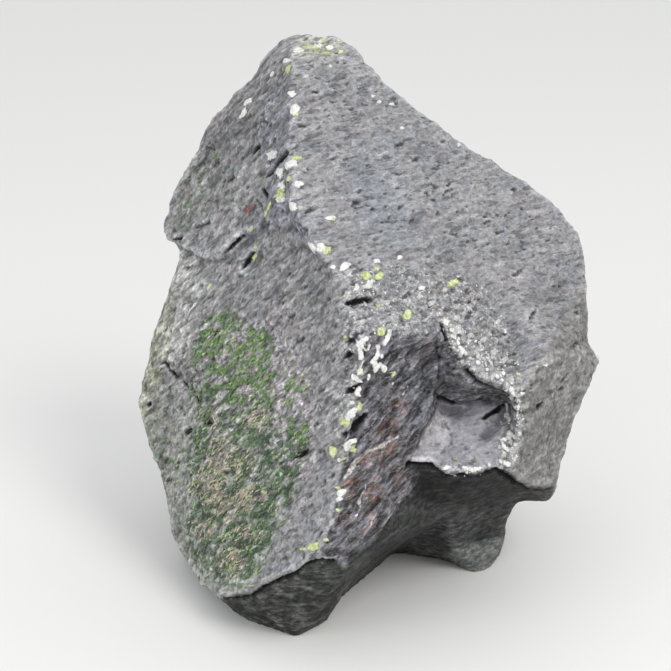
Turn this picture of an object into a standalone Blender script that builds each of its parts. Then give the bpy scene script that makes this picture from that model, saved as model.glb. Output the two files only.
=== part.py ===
"""A moss-covered rock: one weathered boulder, split on old joints, with moss skins on its shaded face.

The stone is one solid.  A cage of named corners fixes its facets, edges and overhangs.  The cage is
remeshed finely, its weathered edges are worn round, and lumps, ledges, fracture ridges, slots and
pits are cut into it.  A plane through the ground line gives the flat underside that it rests on.
Each moss patch is a thin closed skin that follows the stone at a hair's gap.
"""

import math

import bmesh
import bpy
import numpy as np
from mathutils import Vector, noise
from mathutils.bvhtree import BVHTree

MM = 0.001

# Driving dimensions, in millimetres.
SWELL = 1.2               # the surface stands this far outside the cage, which makes up for the wear
SKIRT = 30.0              # how far the rough stone runs below the ground line before it is cut off
GRID = 6.5                # spacing of the sculpted surface
STONE_TRIANGLES = 8100    # facets that the finished stone keeps
WEAR_PASSES = 6           # rounding of weathered edges
WEAR_SHRINK = 0.60        # share of the way to the neighbours' mean, out and back again, in each pass
WEAR_SWELL = -0.52
GAP = 0.45                # clearance between a skin and the stone under it
MOSS_HEIGHT = 6.5         # from the stone to the tips of the moss
LEAF_HEIGHT = 4.0         # from the stone to the curled rim of the leaf
TINY_EDGE = 0.4           # shorter edges than this are closed up
PRISM_REACH = 60.0        # how far the cutter of a skin runs to each side of the left face

# Corners of the stone, in millimetres: x to the right, y to the back, z up from the ground line.
CORNERS = {
    # the small sloping top, clockwise from the left
    "crown": [(-95, 100, 665), (-50, 30, 690), (8, 55, 676), (22, 80, 690), (0, 90, 700), (-60, 90, 696)],
    # the long edge that runs from the top down between the two big faces to the toe
    "arris": [
        (-55, -20, 635), (-60, -65, 590), (-55, -115, 540), (-25, -150, 495), (10, -180, 455),
        (30, -220, 405), (20, -250, 330), (10, -275, 260), (-5, -295, 200), (-20, -300, 165),
    ],
    # far edge of the pale right face
    "brow": [
        (66, 70, 640), (167, 80, 557), (233, 90, 513), (302, 90, 461), (319, 80, 440), (328, 60, 405),
        (327, 35, 380),
    ],
    "pale": [(120, -25, 510), (215, -50, 405)],
    # the steep lobe at the right end
    "lobe": [
        (330, 10, 345), (326, 0, 315), (346, -20, 295), (322, -30, 245), (307, -40, 195), (290, -60, 145),
        (280, -80, 140), (255, -110, 160), (235, -130, 180), (225, -170, 250), (265, -120, 355),
    ],
    "lobe_under": [(284, -40, 100), (265, -40, 100), (240, -35, 102)],
    # upper lip of the fracture, then the rim of the notch
    "scar_top": [(50, -200, 405), (80, -185, 405), (110, -170, 390)],
    "rim": [
        (130, -150, 395), (135, -155, 380), (160, -160, 350), (180, -165, 330), (205, -155, 320),
        (220, -160, 305),
    ],
    "notch": [(135, -110, 275), (150, -100, 270), (170, -100, 275), (220, -110, 275)],
    "ledge": [
        (85, -205, 240), (115, -205, 240), (135, -210, 225), (170, -200, 220), (195, -185, 225),
        (220, -170, 210),
    ],
    # lower edge of the fracture, from the ledge to the toe
    "scar": [(125, -135, 335), (95, -190, 220), (70, -225, 180), (40, -260, 150), (15, -285, 140)],
    # lip over the undercut toe, from the long edge to the left
    "toe": [
        (-5, -300, 160), (-35, -295, 155), (-45, -285, 135), (-65, -270, 120), (-85, -255, 100),
        (-105, -240, 80), (-120, -225, 70), (-145, -200, 50),
    ],
    # where the stone meets the ground, from the toe to the right and round the back
    "foot": [
        (-50, -215, 0), (-15, -180, 0), (5, -115, 0), (80, 10, 0), (145, -10, 0), (190, -50, 0),
        (210, -30, 0), (225, 10, 0), (215, 120, 0), (160, 200, 0), (0, 230, 0), (-130, 190, 0),
        (-195, 80, 0), (-211, 10, 0), (-171, -85, 0), (-150, -115, 0), (-135, -145, 0), (-110, -175, 0),
    ],
    "heel": [(230, 5, 60), (230, 10, 15)],
    "under": [(145, -120, 125), (220, -40, 45), (160, -60, 35)],
    # left outline, from the top down
    "flank": [
        (-105, 100, 645), (-162, 110, 582), (-180, 115, 552), (-180, 115, 540), (-195, 120, 536),
        (-195, 120, 525), (-205, 125, 507), (-227, 125, 465), (-235, 105, 422), (-211, 92, 417),
        (-214, 85, 390), (-225, 80, 345), (-235, 75, 315), (-245, 60, 285), (-252, 45, 250),
        (-261, 35, 240), (-261, 25, 205), (-254, 20, 190), (-234, -10, 140), (-225, -20, 110),
        (-216, -50, 64), (-206, -60, 49), (-191, -100, 38), (-165, -150, 34),
    ],
    # rear end of the left shoulder's overhang
    "shoulder": [(-185, 175, 425)],
    # lower edge of the proud upper left face
    "scarp": [(-140, 5, 435), (-120, -5, 460), (-90, -30, 485), (-55, -60, 505)],
    "strip": [(-175, 35, 415), (-185, 15, 350), (-195, 0, 310), (-225, 20, 280)],
    # the back, worn to broad planes
    "back": [
        (-20, 150, 600), (180, 150, 465), (265, 150, 265), (50, 230, 375), (-150, 195, 460),
        (-215, 165, 265), (0, 260, 150), (190, 220, 110), (-165, 215, 110), (260, 60, 120),
    ],
}

# Each facet goes round its corners; a name and a number pick one corner out of its row.
FACETS = {
    "crown": "crown0 crown1 crown2 crown3 crown4 crown5",
    "pale_top": "crown1 arris0 arris1 arris2 pale0 brow0 crown3 crown2",
    "pale_left": "arris2 arris3 arris4 arris5 scar_top0 scar_top1 scar_top2 rim0 pale0",
    "pale_right": "pale0 pale1 brow3 brow2 brow1 brow0",
    "pale_low": "pale0 rim0 rim1 rim2 rim3 rim4 rim5 pale1",
    "pale_corner": "pale1 rim5 lobe10 lobe0 brow6 brow5 brow4 brow3",
    "lobe_face": "lobe10 rim5 lobe9 lobe2 lobe1 lobe0",
    "lobe_low": "lobe9 ledge5 lobe8 lobe7 lobe6 lobe5 lobe4 lobe3 lobe2",
    "notch_wall": "rim0 scar0 notch0 notch1 notch2 notch3 rim5 rim4 rim3 rim2 rim1",
    "notch_end": "rim5 notch3 ledge5 lobe9",
    "ledge_top": "notch0 ledge0 ledge1 ledge2 ledge3 ledge4 ledge5 notch3 notch2 notch1",
    "ledge_side": "notch0 scar1 ledge0",
    "scar_upper": "arris5 scar0 rim0 scar_top2 scar_top1 scar_top0",
    "scar_lower": "arris5 arris6 arris7 arris8 arris9 toe0 scar4 scar3 scar2 scar1 notch0 scar0",
    "undercut_lip": "scar1 under0 ledge5 ledge4 ledge3 ledge2 ledge1 ledge0",
    "undercut_low": "scar1 scar2 scar3 foot3 foot4 under2 under0",
    "undercut_right": "under0 under2 under1 heel0 lobe_under2 lobe8 ledge5",
    "heel_front": "under2 foot4 foot5 foot6 foot7 heel1 under1",
    "heel_side": "under1 heel1 heel0",
    "lobe_underside": "lobe8 lobe_under2 lobe_under1 lobe_under0 lobe6 lobe7",
    "toe_front": "arris9 toe1 toe2 toe3 foot0 foot1 scar4 toe0",
    "toe_left": "toe3 toe4 toe5 toe6 toe7 foot15 foot16 foot17 foot0",
    "toe_right": "scar4 foot1 foot2 foot3 scar3",
    "mossy_upper": "arris3 scarp3 scarp2 scarp1 scarp0 strip0 strip1 strip2 arris5 arris4",
    "mossy_lower": (
        "arris5 strip2 strip3 flank15 flank16 flank17 flank18 flank19 toe7 toe6 toe5 toe4 toe3 toe2 toe1 "
        "arris9 arris8 arris7 arris6"
    ),
    "mossy_corner": "flank19 flank20 flank21 flank22 flank23 toe7",
    "toe_heel": "toe7 flank23 foot14 foot15",
    "strip": "strip0 flank9 flank10 flank11 flank12 flank13 flank14 strip3 strip2 strip1",
    "strip_end": "strip3 flank14 flank15",
    "flank_face": "crown1 crown0 flank0 flank1 flank2 flank3 scarp2 scarp3 arris3 arris2 arris1 arris0",
    "shoulder": "flank3 flank4 flank5 flank6 flank7 flank8 strip0 scarp0 scarp1 scarp2",
    "shoulder_under": "flank8 flank9 strip0",
    "shoulder_under_back": "flank8 shoulder0 flank9",
    "back_crown": "crown5 crown4 back0",
    "back_brow_left": "crown4 crown3 brow0 brow1 back1 back0",
    "back_brow_middle": "brow1 brow2 brow3 back1",
    "back_brow_right": "brow3 brow4 brow5 brow6 back2 back1",
    "back_lobe": "brow6 lobe0 lobe1 lobe2 back2",
    "back_lobe_low": "lobe2 lobe3 lobe4 lobe5 back9 back2",
    "back_lobe_lip": "lobe5 lobe6 lobe_under0 back9",
    "back_heel": "lobe_under0 lobe_under1 lobe_under2 heel0 heel1 foot7 foot8 back9",
    "back_right_foot": "back9 foot8 foot9 back7 back2",
    "back_right": "back1 back2 back7 back3",
    "back_top": "back0 back1 back3",
    "back_middle": "back0 back3 back4",
    "back_low": "back3 back7 back6",
    "back_foot": "back7 foot9 foot10 back6",
    "back_left": "back3 back6 back8 back4",
    "back_left_foot": "back6 foot10 foot11 back8",
    "left_back": "back4 back8 back5 shoulder0",
    "left_foot": "back8 foot11 foot12 back5",
    "crown_shoulder": "crown0 crown5 back0 back4 flank2 flank1 flank0",
    "shoulder_back": "flank2 back4 shoulder0 flank8 flank7 flank6 flank5 flank4 flank3",
    "strip_back": "flank9 shoulder0 back5 flank13 flank12 flank11 flank10",
    "corner_back": "flank13 back5 foot12 flank19 flank18 flank17 flank16 flank15 flank14",
    "corner_foot": "flank19 foot12 foot13 foot14 flank23 flank22 flank21 flank20",
    "base": (
        "foot0 foot17 foot16 foot15 foot14 foot13 foot12 foot11 foot10 foot9 foot8 foot7 foot6 foot5 foot4 "
        "foot3 foot2 foot1"
    ),
}

# Broken faces keep crisp edges and carry the ridges of the fracture; all others are weathered.
FRESH = {
    "notch_wall", "notch_end", "ledge_top", "ledge_side", "scar_upper", "scar_lower", "undercut_lip",
    "undercut_low", "undercut_right", "lobe_underside", "toe_front", "toe_left", "toe_right",
    "shoulder_under", "shoulder_under_back",
}
SCAR = {"scar_upper", "scar_lower"}
SMOOTH = {"toe_front", "toe_left", "toe_right", "undercut_low", "undercut_right", "heel_front"}
PALE = {"pale_top", "pale_left", "pale_right", "pale_low", "pale_corner", "lobe_face", "lobe_low"}
REAR = {name for name in FACETS if "back" in name or name in ("left_foot", "corner_foot")}

# Outward normal of the left face, the run of the fracture's ridges, and the run of the stone's grain.
LEFT_FACE = Vector((-0.73, -0.60, 0.34)).normalized()
RIDGE_RUN = Vector((0.58, 0.25, 0.78)).normalized()
GRAIN_RUN = Vector((0.80, 0.10, 0.58)).normalized()

# Relief worked into the surface: size of the largest lumps, height, layers of detail, and the length of a
# lump along its run against its width.
RELIEF = {
    "swell": (130.0, 3.2, 2, 1.0),
    "lump": (42.0, 2.0, 2, 1.0),
    "scale": (60.0, 2.4, 2, 3.0),
    "ridge": (26.0, 2.4, 2, 5.0),
    "plate": (62.0, 5.0, 2, 2.2),
    "rear": (210.0, 7.0, 1, 1.5),
    "rim": (14.0, 2.5, 1, 1.0),
}
SEED_STEP = Vector((7.3, 3.1, 5.7))   # each relief reads the noise this much further on
EDGE_PLAIN = 4.0          # the fracture's relief starts this far from the long edge
EDGE_FADE = 22.0          # and is full this much further in

# Slots and pits: start, end, half width, depth, in millimetres.
SLOTS = {
    "brow_slot": ((-88, 3, 542), (-64, -17, 572), 8, 17),
    "scarp_slot": ((-145, 8, 430), (-115, -12, 462), 7, 12),
    "scoop_slot": ((-116, -28, 428), (-104, -37, 448), 7, 11),
    "edge_slot": ((12, -195, 443), (45, -172, 440), 8, 8),
    "edge_nick_high": ((8, -212, 402), (20, -216, 405), 6, 7),
    "edge_nick_mid": ((8, -224, 376), (22, -222, 382), 7, 8),
    "edge_nick_low": ((12, -240, 345), (26, -238, 352), 6, 7),
    "corner_slot": ((2, -257, 285), (28, -246, 308), 7, 9),
    "crown_pit": ((-28, -10, 648), (-20, -8, 652), 7, 6),
    "bow_slot": ((-50, -62, 612), (-30, -46, 622), 6, 6),
    "flank_pit_high": ((-92, 34, 598), (-86, 30, 604), 7, 6),
    "flank_pit_low": ((-104, 30, 560), (-96, 26, 568), 8, 8),
    "moss_pit": ((-168, -80, 232), (-162, -84, 238), 7, 8),
    "fringe_pit": ((-198, -58, 206), (-192, -62, 214), 6, 6),
    "corner_pit": ((-247, 10, 218), (-241, 4, 222), 7, 7),
    "lobe_pit_left": ((256, -92, 256), (262, -88, 264), 8, 6),
    "lobe_pit_right": ((300, -62, 328), (306, -58, 336), 7, 5),
    "ledge_pocket_back": ((135, -122, 272), (155, -118, 268), 8, 8),
    "ledge_pocket_right": ((186, -148, 250), (214, -122, 270), 8, 10),
    "moss_nick": ((-52, -208, 248), (-33, -222, 256), 6, 7),
    "rear_slot_high": ((40, 205, 440), (95, 185, 470), 9, 13),
    "rear_slot_low": ((-70, 238, 250), (-20, 250, 205), 9, 12),
    "rear_pit_right": ((228, 170, 260), (238, 160, 275), 10, 10),
    "rear_pit_left": ((-195, 180, 215), (-190, 186, 225), 9, 9),
}

MOUTH_FLARE = 1.35        # a slot's mouth against its half width

# The crack under the left shoulder: its run, half width and depth.
CRACK = [(-228, 20, 282), (-213, 2, 271), (-196, -24, 264), (-184, -44, 259), (-174, -55, 252)]
CRACK_HALF_WIDTH = 5.0
CRACK_DEPTH = 8.0

# The hollow under the proud upper face: its upper edge as (x, z), its depth at the edge and its reach down.
HOLLOW_EDGE = [
    (-235, 420), (-175, 416), (-140, 434), (-120, 460), (-90, 486), (-55, 504), (-35, 494), (-15, 478),
]
HOLLOW_DEPTH = 13.0
HOLLOW_REACH = 95.0
HOLLOW_LIP = 4.0          # drop over which the hollow reaches its depth
HOLLOW_ENDS = (-245.0, -5.0)
HOLLOW_END_FADE = 45.0

# Outlines of the skins on the left face, as (x, z) seen from the front, and each one's height.
PATCHES = {
    "moss_bank": [
        (-180, 330), (-165, 350), (-130, 370), (-115, 360), (-85, 368), (-75, 325), (-84, 290), (-76, 262),
        (-56, 236), (-50, 218), (-66, 190), (-84, 156), (-96, 112), (-108, 88), (-138, 68), (-166, 72),
        (-186, 88), (-184, 120), (-180, 160), (-190, 182), (-182, 230), (-185, 275),
    ],
    "moss_islet_high": [(-47, 342), (-28, 343), (-33, 320), (-44, 302), (-66, 298), (-60, 318)],
    "moss_islet_low": [(-56, 282), (-36, 287), (-36, 270), (-24, 262), (-42, 236), (-58, 246)],
    "moss_fringe": [(-238, 184), (-220, 192), (-210, 176), (-206, 154), (-220, 142), (-230, 160)],
}
LEAF_OUTLINE = [(-112, 500), (-108, 508), (-100, 513), (-92, 514), (-96, 506), (-103, 500)]


def clear_scene():
    """Empty the open scene."""
    for thing in list(bpy.data.objects):
        bpy.data.objects.remove(thing, do_unlink=True)


def principled(name, colour, roughness):
    """A plain opaque material with linear colour values."""
    material = bpy.data.materials.new(name)
    material.use_nodes = True
    shader = material.node_tree.nodes["Principled BSDF"]
    shader.inputs["Base Color"].default_value = (*colour, 1.0)
    shader.inputs["Roughness"].default_value = roughness
    shader.inputs["Metallic"].default_value = 0.0
    return material


def link_object(name, mesh, material):
    """Put a mesh in the scene under its own name, with its own material."""
    thing = bpy.data.objects.new(name, mesh)
    bpy.context.scene.collection.objects.link(thing)
    thing.data.materials.clear()
    thing.data.materials.append(material)
    return thing


def cage():
    """The stone's facets as one closed mesh, with each face's name kept as an index into FACETS."""
    shape = bmesh.new()
    corners = {}
    for row, places in CORNERS.items():
        for number, place in enumerate(places):
            corners[f"{row}{number}"] = shape.verts.new(Vector(place) * MM)
    facet_of = shape.faces.layers.int.new("facet")
    for number, loop in enumerate(FACETS.values()):
        face = shape.faces.new([corners[name] for name in loop.split()])
        face[facet_of] = number
    bmesh.ops.recalc_face_normals(shape, faces=shape.faces[:])
    base_number = list(FACETS).index("base")
    base = [face for face in shape.faces if face[facet_of] == base_number]
    lowered = bmesh.ops.extrude_face_region(shape, geom=base)
    below = [item for item in lowered["geom"] if isinstance(item, bmesh.types.BMVert)]
    bmesh.ops.translate(shape, verts=below, vec=Vector((0, 0, -SKIRT * MM)))
    bmesh.ops.delete(shape, geom=[face for face in base if face.is_valid], context="FACES_ONLY")
    bmesh.ops.triangulate(shape, faces=shape.faces[:])
    bmesh.ops.recalc_face_normals(shape, faces=shape.faces[:])
    return shape


def evaluated_copy(thing):
    """A new mesh with the object's modifiers applied."""
    graph = bpy.context.evaluated_depsgraph_get()
    return bpy.data.meshes.new_from_object(thing.evaluated_get(graph))


def with_modifier(mesh, kind, **settings):
    """The mesh after one modifier, made on a temporary object."""
    thing = bpy.data.objects.new("working", mesh)
    bpy.context.scene.collection.objects.link(thing)
    modifier = thing.modifiers.new(kind.title(), kind)
    for key, value in settings.items():
        setattr(modifier, key, value)
    result = evaluated_copy(thing)
    bpy.data.objects.remove(thing, do_unlink=True)
    return result


def places_and_normals(mesh):
    """Vertex places in millimetres, and unit normals, as arrays."""
    count = len(mesh.vertices)
    places = np.empty(count * 3)
    normals = np.empty(count * 3)
    mesh.vertices.foreach_get("co", places)
    mesh.vertices.foreach_get("normal", normals)
    return places.reshape(count, 3) / MM, normals.reshape(count, 3)


def set_places(mesh, places):
    """Write vertex places given in millimetres."""
    mesh.vertices.foreach_set("co", (places * MM).ravel())
    mesh.update()


def edge_array(mesh):
    """Each edge's two vertex numbers."""
    pairs = np.empty(len(mesh.edges) * 2, dtype=np.int64)
    mesh.edges.foreach_get("vertices", pairs)
    return pairs.reshape(-1, 2)


def neighbour_mean(values, pairs):
    """The mean of each vertex's neighbours, for numbers or for places."""
    total = np.zeros_like(values)
    count = np.zeros(len(values))
    for here, there in ((0, 1), (1, 0)):
        np.add.at(total, pairs[:, here], values[pairs[:, there]])
        np.add.at(count, pairs[:, here], 1.0)
    shape = (-1,) + (1,) * (values.ndim - 1)
    return total / count.reshape(shape)


def facet_names(mesh, shape):
    """The name of the cage facet that lies nearest to each vertex."""
    tree = BVHTree.FromBMesh(shape)
    facet_of = shape.faces.layers.int["facet"]
    shape.faces.ensure_lookup_table()
    names = list(FACETS)
    return [names[shape.faces[tree.find_nearest(vertex.co)[2]][facet_of]] for vertex in mesh.vertices]


def membership(names, group, pairs, passes):
    """1 on the vertices of a group of facets and 0 elsewhere, blended over a few grid steps."""
    weight = np.array([1.0 if name in group else 0.0 for name in names])
    for _ in range(passes):
        weight = (weight + neighbour_mean(weight, pairs)) / 2.0
    return weight


def wear_edges(places, pairs, fresh):
    """Round the weathered edges and leave the broken ones crisp.

    Each smoothing step is followed by one that swells, so the stone keeps its size.
    """
    free = (1.0 - np.clip(2.5 * fresh, 0.0, 1.0))[:, None]
    for _ in range(WEAR_PASSES):
        for share in (WEAR_SHRINK, WEAR_SWELL):
            places = places + (neighbour_mean(places, pairs) - places) * share * free
    return places


def relief(name, places, run=None):
    """Layered smooth noise of about -1 to 1 at each place, drawn out along the run if there is one."""
    size, _, layers, stretch = RELIEF[name]
    offset = SEED_STEP * (list(RELIEF).index(name) + 1)
    values = []
    for place in places:
        spot = Vector(place)
        if run is not None:
            spot -= run * spot.dot(run) * (1.0 - 1.0 / stretch)
        values.append(noise.fractal(spot / size + offset, 0.9, 2.0, layers))
    return np.clip(values, -1.0, 1.0)


def height(name):
    """The height of one relief."""
    return RELIEF[name][1]


def terraces(field, levels, steepness):
    """Flat treads with short risers, of -1 to 1, out of a smooth field of -1 to 1."""
    climb = field * levels
    tread = np.floor(climb)
    return (tread + np.clip((climb - tread) * steepness, 0.0, 1.0)) / levels


def lumps(places, pale, smooth):
    """Broad swells everywhere and shallow lumps on the weathered faces."""
    swell = height("swell") * relief("swell", places) * (1.0 - 0.5 * smooth)
    lump = height("lump") * relief("lump", places) * (1.0 - 0.75 * smooth) * (1.0 - 0.35 * pale)
    return swell + lump


def scaled_steps(places, pale):
    """Low ledges on the pale face, where thin sheets of the stone have scaled off along the grain."""
    field = np.clip(2.2 * relief("scale", places, GRAIN_RUN), -1.0, 1.0)
    return height("scale") * terraces(field, 2.0, 5.0) * pale


def rear_plates(places, rear):
    """Broad flat plates at different depths on the back, where it split from its neighbour."""
    field = np.clip(1.8 * relief("rear", places, GRAIN_RUN), -1.0, 1.0)
    above_ground = np.clip(places[:, 2] / 60.0, 0.0, 1.0)
    return height("rear") * terraces(field, 1.5, 7.0) * rear * above_ground


def fracture_ridges(places, scar):
    """Sharp ridges and troughs drawn out along the break, and plates at different depths."""
    ridge = height("ridge") * (1.0 - 2.0 * np.abs(relief("ridge", places, RIDGE_RUN)))
    plate = height("plate") * np.floor(relief("plate", places, RIDGE_RUN) * 3.0 + 0.5) / 3.0
    arris = CORNERS["arris"][5:]
    from_edge = np.min([distance_to_run(places, start, end) for start, end in zip(arris, arris[1:])], axis=0)
    return scar * np.clip((from_edge - EDGE_PLAIN) / EDGE_FADE, 0.0, 1.0) * (ridge + plate)


def distance_to_run(places, start, end):
    """Distance of each place from a straight run between two points."""
    start = np.array(start, dtype=float)
    step = np.array(end, dtype=float) - start
    share = np.clip(((places - start) @ step) / (step @ step), 0.0, 1.0)
    return np.linalg.norm(places - (start + share[:, None] * step), axis=1)


def slots(places):
    """Depth of the slots, the pits and the crack at each place, with ragged rims."""
    ragged = relief("rim", places) * height("rim")
    cuts = list(SLOTS.values())
    cuts += [(start, end, CRACK_HALF_WIDTH, CRACK_DEPTH) for start, end in zip(CRACK, CRACK[1:])]
    depth = np.zeros(len(places))
    for start, end, half_width, deep in cuts:
        share = (distance_to_run(places, start, end) + ragged) / (half_width * MOUTH_FLARE)
        depth = np.maximum(depth, deep * np.clip(1.0 - share * np.abs(share), 0.0, 1.0))
    return -depth


def hollow(places, normals):
    """The scooped ground under the proud upper left face, deepest right below its edge."""
    edge = np.array(HOLLOW_EDGE, dtype=float)
    left, right = HOLLOW_ENDS
    across = places[:, 0]
    drop = np.interp(across, edge[:, 0], edge[:, 1]) - places[:, 2]
    facing = np.clip((normals @ np.array(LEFT_FACE) - 0.55) / 0.25, 0.0, 1.0)
    ends = np.clip((across - left) / HOLLOW_END_FADE, 0.0, 1.0)
    ends *= np.clip((right - across) / HOLLOW_END_FADE, 0.0, 1.0)
    inside = np.clip(drop / HOLLOW_LIP, 0.0, 1.0) * np.clip(1.0 - drop / HOLLOW_REACH, 0.0, 1.0)
    return -HOLLOW_DEPTH * inside * facing * ends


def sculpt(mesh, shape):
    """Wear, lumps, ledges, ridges, slots and the hollow, worked into the fine mesh."""
    pairs = edge_array(mesh)
    names = facet_names(mesh, shape)
    fresh = membership(names, FRESH, pairs, 1)
    scar = membership(names, SCAR, pairs, 2)
    smooth = membership(names, SMOOTH, pairs, 3)
    pale = membership(names, PALE, pairs, 3)
    rear = membership(names, REAR, pairs, 4)
    places, _ = places_and_normals(mesh)
    set_places(mesh, wear_edges(places, pairs, fresh))
    places, normals = places_and_normals(mesh)
    for _ in range(3):
        normals = neighbour_mean(normals, pairs)
        normals /= np.linalg.norm(normals, axis=1)[:, None]
    rise = SWELL + lumps(places, pale, smooth) + scaled_steps(places, pale) + fracture_ridges(places, scar)
    rise += rear_plates(places, rear) + hollow(places, normals) + slots(places)
    set_places(mesh, places + normals * rise[:, None])


def cut_at_ground(mesh):
    """Cut the stone off flat at z = 0 and close the cut."""
    shape = bmesh.new()
    shape.from_mesh(mesh)
    geometry = shape.verts[:] + shape.edges[:] + shape.faces[:]
    cut = bmesh.ops.bisect_plane(
        shape, geom=geometry, dist=1e-7, plane_co=(0, 0, 0), plane_no=(0, 0, -1), clear_outer=True
    )
    rim = [item for item in cut["geom_cut"] if isinstance(item, bmesh.types.BMEdge)]
    bmesh.ops.edgeloop_fill(shape, edges=rim)
    bmesh.ops.dissolve_degenerate(shape, dist=TINY_EDGE * MM, edges=shape.edges[:])
    bmesh.ops.triangulate(shape, faces=shape.faces[:])
    bmesh.ops.recalc_face_normals(shape, faces=shape.faces[:])
    shape.to_mesh(mesh)
    shape.free()
    mesh.update()


def stone_mesh():
    """The whole stone: cage, fine mesh, sculpting, fewer facets, flat underside."""
    shape = cage()
    rough = bpy.data.meshes.new("rough stone")
    shape.to_mesh(rough)
    fine = with_modifier(rough, "REMESH", mode="VOXEL", voxel_size=GRID * MM, adaptivity=0.0)
    sculpt(fine, shape)
    shape.free()
    triangles = sum(len(face.vertices) - 2 for face in fine.polygons)
    stone = with_modifier(fine, "DECIMATE", ratio=STONE_TRIANGLES / triangles)
    cut_at_ground(stone)
    return stone


def local_slab(stone, outline, height):
    """A closed skin over the part of the left face round an outline, from GAP to height above the stone."""
    reach = 45.0
    low_x = min(x for x, _ in outline) - reach
    high_x = max(x for x, _ in outline) + reach
    low_z = min(z for _, z in outline) - reach
    high_z = max(z for _, z in outline) + reach
    shape = bmesh.new()
    shape.from_mesh(stone)
    far = []
    for face in shape.faces:
        middle = face.calc_center_median() / MM
        beside = not (low_x < middle.x < high_x and low_z < middle.z < high_z)
        if beside or face.normal.dot(LEFT_FACE) < 0.15 or middle.y > 130.0:
            far.append(face)
    bmesh.ops.delete(shape, geom=far, context="FACES")
    normals = {vertex: vertex.normal.copy() for vertex in shape.verts}
    top = bmesh.ops.duplicate(shape, geom=shape.verts[:] + shape.edges[:] + shape.faces[:])
    twin = {low: high for low, high in top["vert_map"].items() if low in normals}
    bottom_faces = [face for face in shape.faces if face.verts[0] in normals]
    for low, high in twin.items():
        high.co = low.co + normals[low] * height * MM
        low.co = low.co + normals[low] * GAP * MM
    for edge in [edge for edge in shape.edges if edge.is_boundary and edge.verts[0] in normals]:
        start, end = edge.verts
        shape.faces.new((start, end, twin[end], twin[start]))
    bmesh.ops.reverse_faces(shape, faces=bottom_faces)
    bmesh.ops.recalc_face_normals(shape, faces=shape.faces[:])
    slab = bpy.data.meshes.new("slab")
    shape.to_mesh(slab)
    shape.free()
    return slab


def on_left_face(x, z):
    """The point of the left face's plane that has this x and z, in millimetres."""
    through = Vector(CORNERS["arris"][5])
    y = through.y - (LEFT_FACE.x * (x - through.x) + LEFT_FACE.z * (z - through.z)) / LEFT_FACE.y
    return Vector((x, y, z))


def prism(outline):
    """A closed column through the left face, square to it, whose outline is given as (x, z)."""
    shape = bmesh.new()
    middle = [on_left_face(x, z) for x, z in outline]
    near = [shape.verts.new((point + LEFT_FACE * PRISM_REACH) * MM) for point in middle]
    far = [shape.verts.new((point - LEFT_FACE * PRISM_REACH) * MM) for point in middle]
    shape.faces.new(near)
    shape.faces.new(far[::-1])
    for index in range(len(outline)):
        after = (index + 1) % len(outline)
        shape.faces.new((near[index], far[index], far[after], near[after]))
    bmesh.ops.recalc_face_normals(shape, faces=shape.faces[:])
    mesh = bpy.data.meshes.new("prism")
    shape.to_mesh(mesh)
    shape.free()
    return mesh


def skin(name, stone, outline, height, material):
    """One closed skin: the slab over the stone, trimmed to its outline."""
    cutter = bpy.data.objects.new(f"{name}_cutter", prism(outline))
    bpy.context.scene.collection.objects.link(cutter)
    slab = local_slab(stone, outline, height)
    trimmed = with_modifier(slab, "BOOLEAN", operation="INTERSECT", solver="EXACT", object=cutter)
    bpy.data.objects.remove(cutter, do_unlink=True)
    shape = bmesh.new()
    shape.from_mesh(trimmed)
    bmesh.ops.dissolve_degenerate(shape, dist=TINY_EDGE * MM * 0.25, edges=shape.edges[:])
    bmesh.ops.triangulate(shape, faces=shape.faces[:])
    shape.to_mesh(trimmed)
    shape.free()
    return link_object(name, trimmed, material)


def centre_on_base(things):
    """Shift every mesh so that the middle of the whole thing's underside is the origin."""
    corners = [vertex.co for thing in things for vertex in thing.data.vertices]
    low = Vector([min(corner[axis] for corner in corners) for axis in range(3)])
    high = Vector([max(corner[axis] for corner in corners) for axis in range(3)])
    shift = Vector((-(low.x + high.x) / 2.0, -(low.y + high.y) / 2.0, -low.z))
    for thing in things:
        for vertex in thing.data.vertices:
            vertex.co += shift
        thing.data.update()
    return shift


def main():
    clear_scene()
    stone = stone_mesh()
    rock = link_object("rock", stone, principled("weathered stone", (0.17, 0.17, 0.17), 0.9))
    things = [rock]
    for name, outline in PATCHES.items():
        moss = principled(name.replace("_", " "), (0.05, 0.10, 0.03), 0.95)
        things.append(skin(name, stone, outline, MOSS_HEIGHT, moss))
    dry = principled("dry red leaf", (0.20, 0.05, 0.04), 0.7)
    things.append(skin("leaf_scrap", stone, LEAF_OUTLINE, LEAF_HEIGHT, dry))
    centre_on_base(things)


main()
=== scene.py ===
"""Moss-covered boulder: weathered stone, creeping moss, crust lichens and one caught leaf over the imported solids."""

import math
import random

import bmesh
import bpy
import numpy as np
from mathutils import Matrix, Vector, noise
from mathutils.bvhtree import BVHTree


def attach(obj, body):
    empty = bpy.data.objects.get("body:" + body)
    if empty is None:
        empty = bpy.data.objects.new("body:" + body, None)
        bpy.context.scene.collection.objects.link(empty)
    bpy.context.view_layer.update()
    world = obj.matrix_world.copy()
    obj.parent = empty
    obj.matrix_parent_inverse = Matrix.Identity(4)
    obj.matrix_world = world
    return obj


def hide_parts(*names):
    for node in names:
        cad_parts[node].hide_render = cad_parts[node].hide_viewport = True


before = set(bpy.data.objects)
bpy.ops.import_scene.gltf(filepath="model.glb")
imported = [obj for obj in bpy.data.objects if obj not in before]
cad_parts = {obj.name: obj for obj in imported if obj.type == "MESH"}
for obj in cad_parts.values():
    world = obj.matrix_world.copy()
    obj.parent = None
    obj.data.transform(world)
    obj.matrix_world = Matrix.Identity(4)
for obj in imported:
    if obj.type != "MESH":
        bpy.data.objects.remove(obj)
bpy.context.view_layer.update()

MM = 0.001

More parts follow.
